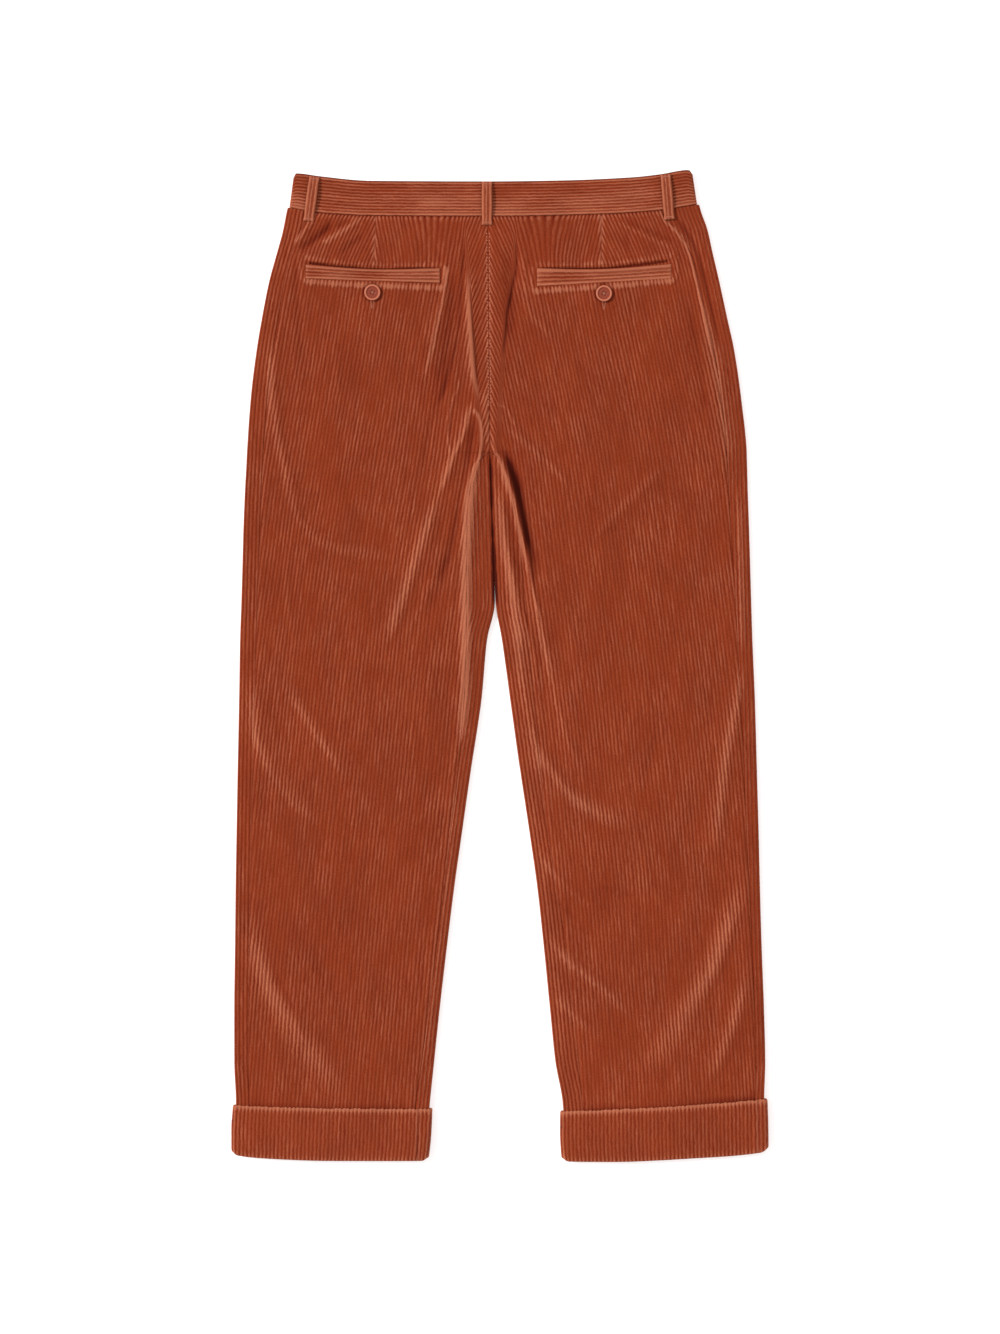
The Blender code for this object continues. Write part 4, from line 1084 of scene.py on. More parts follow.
@dataclass(frozen=True)
class WeltPlace:
    """A back pocket's welt: its corners, seen from above, and how far its lip sags."""

    node: str
    left: float
    right: float
    left_top: float
    right_top: float
    left_end: float
    right_end: float
    sag: float = 3.0

    def along(self, x: Array) -> Array:
        """The share of the way from the left end to the right one."""
        return (x - self.left) / (self.right - self.left)

    def top(self, x: Array) -> Array:
        """The straight line between the upper corners."""
        return self.left_top + self.along(x) * (self.right_top - self.left_top)

    def lip(self, x: Array) -> Array:
        """The sagging upper edge of the welt."""
        return self.top(x) - self.sag * np.sin(np.pi * np.clip(self.along(x), 0, 1))

    def foot(self, x: Array) -> Array:
        """The lower edge of the welt."""
        return self.left_end + self.along(x) * (self.right_end - self.left_end)

    def outside(self, x: Array, y: Array) -> Array:
        """How far a point lies outside the welt, 0 within it."""
        beside = np.maximum(np.maximum(self.left - x, x - self.right), 0)
        beyond = np.maximum(np.maximum(y - self.top(x), self.foot(x) - y), 0)
        return np.hypot(beside, beyond)


LEFT_WELT = WeltPlace("pocket_welt_left", -194.5, -60, 401, 397.5, 386.8, 382.4)
RIGHT_WELT = WeltPlace("pocket_welt_right", 36.8, 171.5, 397.3, 401.6, 379, 386.8)
LEFT_DART = Dart(Place(-124.3, 448.5), Place(-126.4, 401.9), outer_turn=17, inner_turn=20)
RIGHT_DART = Dart(Place(101.4, 451), Place(101.4, 401), outer_turn=13, inner_turn=25)
LEFT_BUTTON = Place(-127.6, 373)
RIGHT_BUTTON = Place(104, 372)


class Touch(NamedTuple):
    """What a feature does to the cloth at each point."""

    rise: Array
    wear: Array
    hollow: Array


@dataclass(frozen=True)
class PressedPocket:
    """The mark of a pocket on its panel: a pressed border and the slot above the lip."""

    welt: WeltPlace
    border: float = 6.0
    border_rise: float = 0.8
    slot_width: float = 1.6
    slot_depth: float = 1.7

    def touch(self, x: Array, y: Array) -> Touch:
        """The border's rise and its pale edge, from wear and painted highlight, and the slot, with painted
        shade in it.
        """
        out = self.welt.outside(x, y)
        above = y - self.welt.top(x)
        under = self.welt.foot(x) - y
        over_lip = y - self.welt.lip(x)
        rise = np.where(out <= 0, 0, self.border_rise * (1 - ease((out - self.border) / 2.6)))
        open_share = np.clip((np.clip(self.welt.along(x), 0, 1) - 0.03) / 0.94, 0, 1)
        lens = np.sin(np.pi * open_share) ** 0.7 * ((open_share > 0) & (open_share < 1))
        mouth = self.slot_width * lens * (0.75 + 0.5 * SMALL_LUMPS.at(x * 0.7, 3))
        in_slot = ease((mouth - over_lip) / 0.6) * ease((over_lip + 2) / 0.6) * (lens > 0)
        lifted = 0.35 * bell(over_lip - mouth - 1.4, 1.2) * (lens > 0)
        ends = bell(out - 5, 2.2) * (above < 2)
        beside = (x > self.welt.left - 2) & (x < self.welt.right + 2)
        below = ease(under / 3) * (1 - ease((under - 6) / 4)) * beside
        over = bell(over_lip - 4, 3.2) * (above > -3) * beside
        bristle = 0.75 + 0.5 * BRISTLE.at(x * 0.8, y * 0.25)
        wear = (0.45 * ends + 0.5 * below + 0.4 * over) * bristle
        return Touch(rise + lifted - (self.slot_depth + rise) * in_slot, wear * (1 - in_slot), 0.65 * in_slot)


# ---- back panels


class RowSpan(NamedTuple):
    """A stretch of a panel's height and how far apart its rows stand there."""

    start: float
    end: float
    step: float


PANEL_SPANS = tuple(RowSpan(*row) for row in (
    (449.5, 448.9, 0.3), (448.9, 446.5, 0.8), (446.5, 406, 4.2), (406, 392, 0.75), (392, 388, 2),
    (388, 363, 1.5), (363, 300, 4), (300, 216, 2.7), (216, 203, 1.6), (203, 120, 3), (120, -436, 5.6),
    (-436, -482, 9),
))


def row_heights(spans: Sequence[RowSpan]) -> list[float]:
    """The height of each row, from the top down."""
    heights = [spans[0].start]
    for span in spans:
        amount = max(1, round((span.start - span.end) / span.step))
        heights.extend(np.linspace(span.start, span.end, amount + 1)[1:].tolist())
    return heights


SEAM_STEPS = (0, 0.3, 0.8)
DART_STEPS = (-0.9, -0.35, 0, 0.35, 0.9)
SEAM_DEPTH = 0.6
SEAM_SOFTNESS = 0.5
NO_WALE_BY_SEAM = 1.2
MEETING = 0.04


def seam_drop(distance: Value) -> Value:
    """How far the cloth turns down beside a seam."""
    return SEAM_DEPTH * np.exp(-distance / SEAM_SOFTNESS)


@dataclass
class BackPanel:
    """One back: the cloth from the centre seam and inseam to the side seam."""

    leg: LegForm
    dart: Dart
    welt: WeltPlace
    button: Place
    wale: Wale = PANEL_WALE
    proud: float = 0.1
    flat: tuple[float, float] = (0.285, 1)
    flat_area: float = 0.222

    @property
    def name(self) -> str:
        """The solid that the panel stands for."""
        return f"back_panel_{self.leg.word}"

    def build(self, material: Material) -> None:
        """Builds the panel's shell and puts it in place of its solid."""
        grain = Grain(self.leg, self.dart, self.wale)
        rows, parts = [], []
        total = 0
        for y in row_heights(PANEL_SPANS):
            tokens, x, count, drop = self._row(grain, y)
            rows.append(Row(tokens, x, total))
            total += len(x)
            crowding = np.abs(np.gradient(count, np.maximum.accumulate(x) + 1e-4 * np.arange(len(x))))
            squeezed = np.clip(1.25 - 0.25 * crowding * self.wale.pitch, 0.15, 1)
            parts.append(np.stack([x, np.full(len(x), y), count, drop, squeezed * self.leg.opened(x, y)]))
        draft = MeshDraft(f"{self.name}_cloth")
        draft.add(*self._surface(*np.concatenate(parts, axis=1)))
        for above, below in zip(rows, rows[1:]):
            draft.zip_rows(above, below)
        under = f"front_panel_{self.leg.word}_cloth"
        piece = enlist(draft.build(material), CLOTH_SLOT, self.name)

    def _edges(self, y: float) -> tuple[float, float]:
        """The panel's lowest and highest X at a height."""
        inner = self.leg.column("inner" if y > INSEAM_TOP else "inseam", y) - self.leg.side.value * MEETING
        outer = self.leg.column("side_seam", y) + self.leg.side.value * MEETING
        return (outer, inner) if self.leg.side is Side.LEFT else (inner, outer)

    def _run(
        self, grain: Grain, y: float, start: float, end: float, outside: bool
    ) -> tuple[list, Array, Array]:
        """The wale points between two distances, with their names and wale counts."""
        if end - start < 0.5:
            return [], np.zeros(0), np.zeros(0)
        fine = np.linspace(start, end, max(3, round((end - start) / 0.5)))
        counts = np.maximum.accumulate(grain.count(fine, y, outside))
        keys, wanted = self.wale.samples(counts[0], counts[-1])
        return keys.tolist(), np.interp(wanted, counts, fine), wanted

    def _row(self, grain: Grain, y: float) -> tuple[list, Array, Array, Array]:
        """One row: its points' names, places, wale counts and drops at the seams."""
        low, high = self._edges(y)
        at_dart = self.dart.line(y)
        has_dart = y > self.dart.tip.y
        gap = NO_WALE_BY_SEAM if has_dart else 0
        left_outside = self.leg.side is Side.LEFT
        tokens: list[Hashable] = []
        xs, counts = [], []

        def put(name: str, x: Array, outside: bool) -> None:
            """Adds points by a seam or a dart, with their names and wale counts."""
            tokens.extend((name, i) for i in range(len(x)))
            xs.append(x)
            counts.append(grain.count(x, y, outside))

        put("low", low + np.array(SEAM_STEPS), left_outside)
        start, end = low + NO_WALE_BY_SEAM, high - NO_WALE_BY_SEAM
        left_of_dart = (start, min(at_dart - gap, end), left_outside)
        right_of_dart = (max(at_dart + gap, start), end, not left_outside)
        for span in (left_of_dart, right_of_dart):
            keys, x, count = self._run(grain, y, *span)
            if keys and tokens[-1] == keys[0]:
                keys, x, count = keys[1:], x[1:], count[1:]
            tokens += keys
            xs.append(x)
            counts.append(count)
            if has_dart and span is left_of_dart:
                ditch = at_dart + np.array(DART_STEPS)
                put("dart", ditch[:3], left_outside)
                put("past dart", ditch[3:], not left_outside)
        put("high", high - np.array(SEAM_STEPS[::-1]), not left_outside)
        x = join(*xs)
        drop = seam_drop(np.minimum(np.minimum(x - low, high - x), WAIST_NOMINAL - y))
        if has_dart:
            fade = min(1, (y - self.dart.tip.y) / 8)
            drop = np.maximum(drop, 0.5 * fade * np.exp(-np.abs(x - at_dart) / 0.7))
        return tokens, x, join(*counts), drop

    def _surface(self, x: Array, y: Array, count: Array, drop: Array, rib: Array) -> Line:
        """The panel's points, its cloth map and its masks."""
        inseam = np.where(y > INSEAM_TOP, self.leg.column("inner", y), self.leg.column("inseam", y))
        to_seam = np.minimum(np.abs(x - self.leg.column("side_seam", y)), np.abs(x - inseam))
        to_waist = WAIST_NOMINAL - y
        to_button = np.hypot(x - self.button.x, y - self.button.y)
        to_cuff = y - read(self.leg.cuff_top, x)
        mark = PressedPocket(self.welt).touch(x, y)
        nap_and_painted_light = self.leg.nap_and_painted_light(x, y)
        dip = self.wale.dip(count)
        pucker = 0.3 * PUCKER.at(x * 0.3, y) * np.exp(-to_seam / 7)
        pucker += 0.22 * PUCKER.at(x, y * 0.3) * np.exp(-to_waist / 6)
        allowance = 0.35 * bell(to_seam - 5.5, 3.2)
        dimple = -0.5 * bell(to_button, 9)
        z = self.leg.worn_top(x, y) + pucker + allowance + dimple + mark.rise + self.proud - dip * rib - drop
        on_seat = 0.4 + 0.6 * ease((y - 60) / 120)
        # Pale from wear and painted highlight: the pocket's edges, the highlights painted on the folds, the
        # lips beside the seams and the waist, and the dart.
        wear = mark.wear + np.maximum(nap_and_painted_light, 0) + 0.24 * on_seat * bell(to_seam - 2.2, 1.8)
        wear += 0.3 * bell(to_waist - 2.2, 1.8)
        at_dart = bell(np.abs(x - self.dart.line(y)), 3.2) * ease((y - self.dart.tip.y + 4) / 6)
        wear += 0.55 * at_dart * (0.8 + 0.4 * PUCKER.at(x, y))
        # Painted shade: in the pocket slot, on the folds' dark sides, in the seam ditches, in the groove
        # under the waist seam, round the button, and above and under the turn-up; the cloth is also a little
        # darker from Y = 120 upward.
        hollow = mark.hollow + np.maximum(-nap_and_painted_light, 0) + 0.35 * on_seat * drop / SEAM_DEPTH
        hollow += 0.85 * bell(to_waist - 0.9, 1.3) * dip / self.wale.height
        hollow += 0.06 * ease((y - 120) / 160) + 0.5 * bell(to_button - BUTTON_RADIUS - 0.4, 1.6)
        hollow += 0.5 * np.where(to_cuff > 0, bell(to_cuff, 3.6), 1)
        points = columns(x, self.leg.sewn_height(x, y, 0), z)
        return points, columns(count, y / self.wale.pitch), wear, hollow


# ---- front panels


@dataclass
class FrontPanel:
    """One front: under the leg, round both folded edges and up to the back's seams."""

    leg: LegForm
    wale: Wale = PANEL_WALE
    proud: float = 0.1
    under_points: int = 16
    flat: tuple[float, float] = (0.325, 1)
    flat_area: float = 0.268

    @property
    def name(self) -> str:
        """The solid that the panel stands for."""
        return f"front_panel_{self.leg.word}"

    def build(self, material: Material) -> None:
        """Builds the panel's shell and puts it in place of its solid."""
        draft = MeshDraft(f"{self.name}_cloth")
        rows = []
        for y in row_heights(PANEL_SPANS):
            tokens, section, count, along, drop = self._section(y)
            x, z, nx, nz, rib = section.T
            sunk = np.maximum(drop, seam_drop(WAIST_NOMINAL - y))
            inward = rib * (self.wale.dip(count) - self.proud + sunk)
            px, pz = x - nx * inward, z - nz * inward
            under, over = self._layers(y)
            front = front_share(pz - under, over - under, PANEL_CLOTH)
            points = columns(px, self.leg.sewn_height(px, y, front), np.maximum(pz, OFF_FLOOR))
            cloth = columns(count, y / self.wale.pitch)
            nap_and_painted_light = self.leg.nap_and_painted_light(x, y) * np.maximum(nz, 0)
            # Pale from wear and painted highlight where the folded edges turn on their sides and beside the
            # seams.
            wear = 0.21 * bell(1 - np.abs(nx), 0.55) * rib + 0.2 * bell(drop - 0.5, 0.4) * rib
            edge = self.leg.column("inner", y)
            between = ease((FORK - y) / 8) * ease((y - 56) / 14)
            wide = 1.9 + 1.6 * ease((150 - y) / 80) + 0.5 * PUCKER.at(0, y)
            # How much painted shade fills the gap between the legs below the crotch.
            deep = ease((wide - np.abs(x - edge)) / 1.3) * (nz > -0.6) * between
            # Painted shade in the seam ditches, on the folds' dark sides and in the gap between the legs.
            hollow = (0.1 + 0.1 * (y > 60)) * drop / SEAM_DEPTH + np.maximum(-nap_and_painted_light, 0) + 1.15 * deep
            # A painted highlight on the faces turned up beside the gap on the lower legs.
            beside_gap = (y < -60) * (np.abs(x) < abs(edge) + 30)
            wear = wear * (1 - deep) + 0.07 * np.maximum(nz, 0) * rib * beside_gap
            first = draft.add(points, cloth, wear + np.maximum(nap_and_painted_light, 0), hollow)
            rows.append(Row(tokens, along, first))
        for above, below in zip(rows, rows[1:]):
            draft.zip_rows(above, below, flip=self.leg.side is Side.LEFT)
        piece = enlist(draft.build(material), CLOTH_SLOT, self.name)

    def _layers(self, y: float) -> tuple[float, float]:
        """The heights of the under and the over layer."""
        return read(UNDER_LEVEL, y), read(OVER_LEVEL, y)

    def _strip(self, y: float, edge: float, seam: float, outward: float) -> tuple[Array, Array, list]:
        """The strip from a seam round a folded edge to the underside.

        Args:
            y: the height of the section.
            edge: the folded edge's X.
            seam: the seam's X, on the upper layer.
            outward: the sign of X that points off the leg there.

        Returns:
            Places along the strip measured from the fold, from the seam down, their
            rows of (x, z, normal x, normal z, rib share), and their names.
        """
        under, over = self._layers(y)
        radius = (over - under) / 2
        quarter = math.pi * radius / 2
        turn = edge - outward * radius
        width = quarter + max(outward * (turn - seam), 0.3)
        pitch = self.wale.pitch
        keys, counts = self.wale.samples(-quarter / pitch, (width - NO_WALE_BY_SEAM) / pitch)
        s = join(width - np.array(SEAM_STEPS), (counts * pitch)[::-1])
        names = [("seam", i) for i in range(len(SEAM_STEPS))] + keys[::-1].tolist()
        angle = np.clip(s, -quarter, quarter) / radius
        flat = np.maximum(s - quarter, 0)
        x = turn + outward * radius * np.cos(angle) - outward * flat
        pucker = 0.25 * PUCKER.at(x * 0.3, y) * np.exp(-(width - s) / 6) * (flat > 0)
        lift = self.leg.worn_relief(x, y) + pucker
        z = under + radius + radius * np.sin(angle) + lift * (1 + np.sin(angle)) / 2
        rib = np.clip((s + quarter) / quarter, 0, 1)
        rib = rib * (1 - bell(s, 1.6) * (abs(edge) < 20))
        section = columns(x, z, outward * np.cos(angle), np.sin(angle), rib)
        return s, section, names

    def _section(self, y: float) -> tuple[list, Array, Array, Array, Array]:
        """One section of the front, from the side seam round to the inseam.

        Returns:
            The points' names, their rows of (x, z, normal x, normal z, rib share),
            their wale counts, how far along they lie and their drops at the seams.
        """
        side = self.leg.side.value
        outer = self.leg.column("outer", y)
        seam = self.leg.column("side_seam", y) + side * MEETING / 2
        inner = self.leg.column("inner", y) - side * MEETING
        inseam = self.leg.column("inseam", y) - side * MEETING / 2
        s, section, names = self._strip(y, outer, seam, side)
        tokens: list[Hashable] = [("outer", name) for name in names]
        count = s / self.wale.pitch
        drop = seam_drop(s[0] - s)
        along = s[0] - s
        under, over = self._layers(y)
        past_turn = (over - under) / 2 + 1
        x_to = inner + side * (past_turn if y <= FORK else 0)
        flat_x = np.linspace(outer - side * past_turn, x_to, self.under_points)
        away = np.abs(flat_x - flat_x[0])
        section = join(section, columns(flat_x, under, 0, -1, 0))
        tokens += [("under", i) for i in range(len(flat_x))]
        along = join(along, along[-1] + 1 + away)
        count = join(count, count[-1] - 0.3 - away / self.wale.pitch)
        drop = join(drop, np.zeros(len(flat_x)))
        if y <= FORK:
            s, strip, names = self._strip(y, inner, inseam, -side)
            section = join(section, strip[::-1])
            tokens += [("inner", name) for name in names[::-1]]
            along = join(along, along[-1] + 1 + (s[::-1] - s[-1]))
            count = join(count, s[::-1] / self.wale.pitch)
            drop = join(drop, seam_drop(s[0] - s)[::-1])
        return tokens, section, count, along, drop


# ---- waistband


class HeightStep(NamedTuple):
    """One line of points along a piece: its share of the height, extra rise, depth and wale count."""

    share: float
    rise: float
    depth: float
    count: float


@dataclass
class Waistband:
    """The band round the waist, with its wales along it and a folded top edge."""

    wale: Wale = BAND_WALE
    wales: int = 11
    spacing: float = 4.0
    under_spacing: float = 14.0
    height: float = 36.0
    flat: tuple[float, float] = (0.86, 0.052)
    name: str = "waistband"

    def build(self, material: Material) -> None:
        """Builds the band and puts it in place of its solid."""
        lines = [self._line(step) for step in self._steps()]
        piece = enlist(woven(f"{self.name}_cloth", lines, material, flip=True), CLOTH_SLOT, self.name)

    def _steps(self) -> list[HeightStep]:
        """The lines from the seam up over the wales and down inside the top edge."""
        _, counts = self.wale.samples(0.12, self.wales - 0.1)
        over_edge = (
            (0.15, 0.45, 0), (0.45, 0.95, 0.15), (0.5, 1.5, 0.3), (0.35, 2.1, 0.45),
            (-0.3, 2.55, 0.6), (-2, 2.6, 1), (-9, 2.6, 3),
        )
        return [
            HeightStep(0, -0.5, 1.9, 0),
            HeightStep(0, -0.3, 1, 0.05),
            *(HeightStep(count / self.wales, 0, 0, count) for count in counts),
            *(HeightStep(1, rise, depth, self.wales + more) for rise, depth, more in over_edge),
        ]

    def _line(self, step: HeightStep) -> Line:
        """The points of one line from the centre front round the back."""
        left = WAIST_SEAM[0].at + step.share * (BAND_TOP[0].at - WAIST_SEAM[0].at)
        right = WAIST_SEAM[-1].at + step.share * (BAND_TOP[-1].at - WAIST_SEAM[-1].at)
        radius = BAND_HEIGHT / 2
        fold = np.radians(np.linspace(-90, 90, 9))
        under = max(3, round((CENTRE - left) / self.under_spacing))
        upper = round((WAIST_SEAM[-1].at - WAIST_SEAM[0].at) / self.spacing)
        left_front = np.linspace(CENTRE - SEAM_GAP / 2, left + radius, under)[:-1]
        back = np.linspace(left + radius, right - radius, upper)[1:-1]
        right_front = np.linspace(right - radius, CENTRE + SEAM_GAP / 2, under)[1:]
        below, level = np.full(under - 1, -np.pi / 2), np.full(len(back), np.pi / 2)
        angle = join(below, fold, level, fold[::-1], below)
        left_fold = left + radius - radius * np.cos(fold)
        right_fold = right - radius + radius * np.cos(fold[::-1])
        x = join(left_front, left_fold, back, right_fold, right_front)
        normal_x = np.sign(x) * np.cos(angle)
        upward = (1 + np.sin(angle)) / 2
        y_guess = WAIST_NOMINAL + self.height * step.share
        lumps = (0.35 * BROAD_LUMPS.at(x + 90, y_guess) + 0.18 * SMALL_LUMPS.at(x, y_guess)) * upward**2
        ridge = 0.35 * bell(step.share - 0.05, 0.06) * upward
        inward = step.depth + (self.wale.dip(step.count) * upward if step.depth == 0 else 0)
        px = x - normal_x * inward
        pz = radius + radius * np.sin(angle) - np.sin(angle) * inward + lumps + ridge
        front = front_share(radius + radius * np.sin(angle), BAND_HEIGHT, BAND_CLOTH)
        low = waist_height(x, front) + SEAM_GAP / 2
        high = read(BAND_TOP, x) - BAND_FRONT_DROP * front - 0.4
        wander = 0.22 * WALE_WANDER.at(x * 0.8, y_guess * 2) * math.sin(math.pi * step.share)
        y = low + step.share * (high - low) + step.rise + wander
        length = join([0], np.cumsum(np.hypot(np.diff(x), np.diff(pz))))
        cloth = columns(step.count, length / self.wale.pitch)
        # Pale from wear and painted highlight, more on the lower band and along both edges.
        wear = 0.19 + 0.18 * ease((0.75 - step.share) / 0.3)
        wear = wear + 0.1 * SMALL_LUMPS.at(x * 0.6, y_guess * 1.6) + 0.14 * BROAD_LUMPS.at(x, y_guess * 1.5)
        wear = wear + 0.22 * bell(step.share - 0.05, 0.045) + 0.25 * bell(step.share - 0.97, 0.04)
        # Painted shade where the band turns into the waist seam, inside its folded top edge and along that
        # edge.
        hollow = min(1, max(step.depth - 0.3, 0) / 1.4) + 0.6 * bell(step.share - 1, 0.02) * upward
        return columns(px, y, np.maximum(pz, OFF_FLOOR)), cloth, wear, hollow


# ---- turn-ups


class CuffSide(NamedTuple):
    """Where the two sides of a turn-up stand at one height."""

    y: float
    left: float
    right: float


LEFT_CUFF_SIDES = (
    CuffSide(-439, -267.2, -67.4), CuffSide(-470, -269, -68.8), CuffSide(-496, -269, -71.6),
)
RIGHT_CUFF_SIDES = (
    CuffSide(-432, 60.2, 267.4), CuffSide(-465, 60, 268.6), CuffSide(-497, 61.8, 269),
)
CUFF_MIDDLE = -465.0
LEVEL_AT_CUFF = -450.0


class CuffStep(NamedTuple):
    """One line round a turn-up: the edge it keeps to, its rise from it, its depth and its rib."""

    from_hem: bool
    rise: float
    depth: float
    rib: float


@dataclass
class TurnUp:
    """A turn-up round one hem: its outer wall, the folded hem and a short return."""

    leg: LegForm
    sides: tuple[CuffSide, ...]
    seam_x: float
    wale: Wale = PANEL_WALE
    under_points: int = 14
    flat: tuple[float, float] = (0.42, 0.062)

    @property
    def name(self) -> str:
        """The solid that the turn-up stands for."""
        return f"cuff_{self.leg.word}"

    def build(self, material: Material) -> None:
        """Builds the turn-up and puts it in place of its solid."""
        lines = [self._line(step) for step in self._steps()]
        under = [f"back_panel_{self.leg.word}_cloth", f"front_panel_{self.leg.word}_cloth"]
        piece = enlist(woven(f"{self.name}_cloth", lines, material, ring=True), CLOTH_SLOT, self.name)

    def _steps(self) -> list[CuffStep]:
        """The lines from inside the top edge, over it, down to the hem and back up."""
        over_edge = (
            (-6, 1.9, 0), (-0.8, 1.8, 0.3), (0, 1.2, 0.8), (0.15, 0.7, 1), (-0.25, 0.2, 1), (-1.2, 0, 1),
        )
        steps = [CuffStep(False, *row) for row in over_edge]
        steps += [CuffStep(False, -fall, 0, 1) for fall in np.linspace(4, 16, 5)]
        steps += [CuffStep(True, rise, 0, 1) for rise in np.linspace(32, 5, 10)]
        for turn in np.radians(np.linspace(10, 170, 9)):
            depth = CUFF_LAYER / 2 * (1 - math.cos(turn))
            steps.append(CuffStep(True, 2.1 * (1 - math.sin(turn)), depth, max(0, math.cos(turn / 1.4))))
        return steps + [CuffStep(True, rise, CUFF_LAYER, 0) for rise in (3.5, CUFF_RETURN)]

    def _line(self, step: CuffStep) -> Line:
        """The points of one line round the turn-up, from its upper left."""
        edge = self.leg.hem if step.from_hem else self.leg.cuff_top
        middle = np.mean([station.value for station in edge]) + step.rise
        left, right = read(self.sides, middle, "left"), read(self.sides, middle, "right")
        radius = CUFF_HEIGHT / 2
        quarter = math.pi * radius / 2
        across = read(self.sides, CUFF_MIDDLE, "right") - read(self.sides, CUFF_MIDDLE, "left")
        wales = round(across / self.wale.pitch)
        _, count = self.wale.samples(0, wales)
        reach = right - left - 2 * radius + 2 * quarter
        s = count / wales * reach
        turn_left = np.clip((quarter - s) / radius, 0, np.pi / 2)
        turn_right = np.clip((s - reach + quarter) / radius, 0, np.pi / 2)
        flat = np.clip(s - quarter, 0, right - left - 2 * radius)
        x = left + radius + flat - radius * np.sin(turn_left) + radius * np.sin(turn_right)
        angle = np.pi / 2 - turn_left - turn_right
        outward = np.where(turn_left > 0, -1, np.where(turn_right > 0, 1, 0))
        low_turn = np.radians(np.array([-22, -45, -68, -90]))
        under_x = np.linspace(right - radius, left + radius, self.under_points)[1:-1]
        low_right = right - radius + radius * np.cos(low_turn)
        low_left = left + radius - radius * np.cos(low_turn[::-1])
        x = join(x, low_right, under_x, low_left)
        angle = join(angle, low_turn, np.full(len(under_x), -np.pi / 2), low_turn[::-1])
        outward = join(outward, np.ones(4), np.zeros(len(under_x)), -np.ones(4))
        count = join(count, count[-1] + 0.5 + np.arange(len(x) - len(count)) * 0.9)
        upper = np.clip((1 + np.sin(angle)) / 2, 0, 1)
        rib = (angle > -0.05) * step.rib
        dip = self.wale.dip(count)
        inward = step.depth + (0.23 * dip * rib - 0.06 * rib)
        px = x - outward * np.abs(np.cos(angle)) * inward
        y = read(edge, x) + step.rise
        lumps = 0.4 * BROAD_LUMPS.at(x, y) + 0.2 * SMALL_LUMPS.at(x, y * 0.6)
        seam = bell(x - self.seam_x, 1) * (upper > 0.9) * step.rib
        lift = self.leg.relief(x, LEVEL_AT_CUFF) + lumps
        pz = radius + np.sin(angle) * (radius - inward) + lift * upper**2 - 0.8 * seam
        height = y
        if not step.from_hem:
            height = y + 0.5 * BRISTLE.at(x, 0) * bell(step.rise, 1.5) * upper
            height = height - 1.1 * dip * upper * (step.rise > -1)
        cloth = columns(count, y / self.wale.pitch)
        # Pale from wear and painted highlight on the top rim, the sides and the seam.
        at_rim = 0.3 * bell(step.rise, 4) if step.from_hem else 0.8 * bell(step.rise, 3.4)
        at_side = bell(np.minimum(x - left, right - x) - 1.5, 2.4)
        wear = 0.1 + at_rim + 0.3 * upper * (bell(x - self.seam_x, 2.5) + at_side)
        # Painted shade inside the turn-up and in the seam.
        inside = min(1, max(step.depth - 1, 0) / 1.5) * (0.5 if step.from_hem else 0.8)
        return columns(px, height, np.maximum(pz, OFF_FLOOR)), cloth, wear, inside + 0.5 * seam


# ---- belt loops


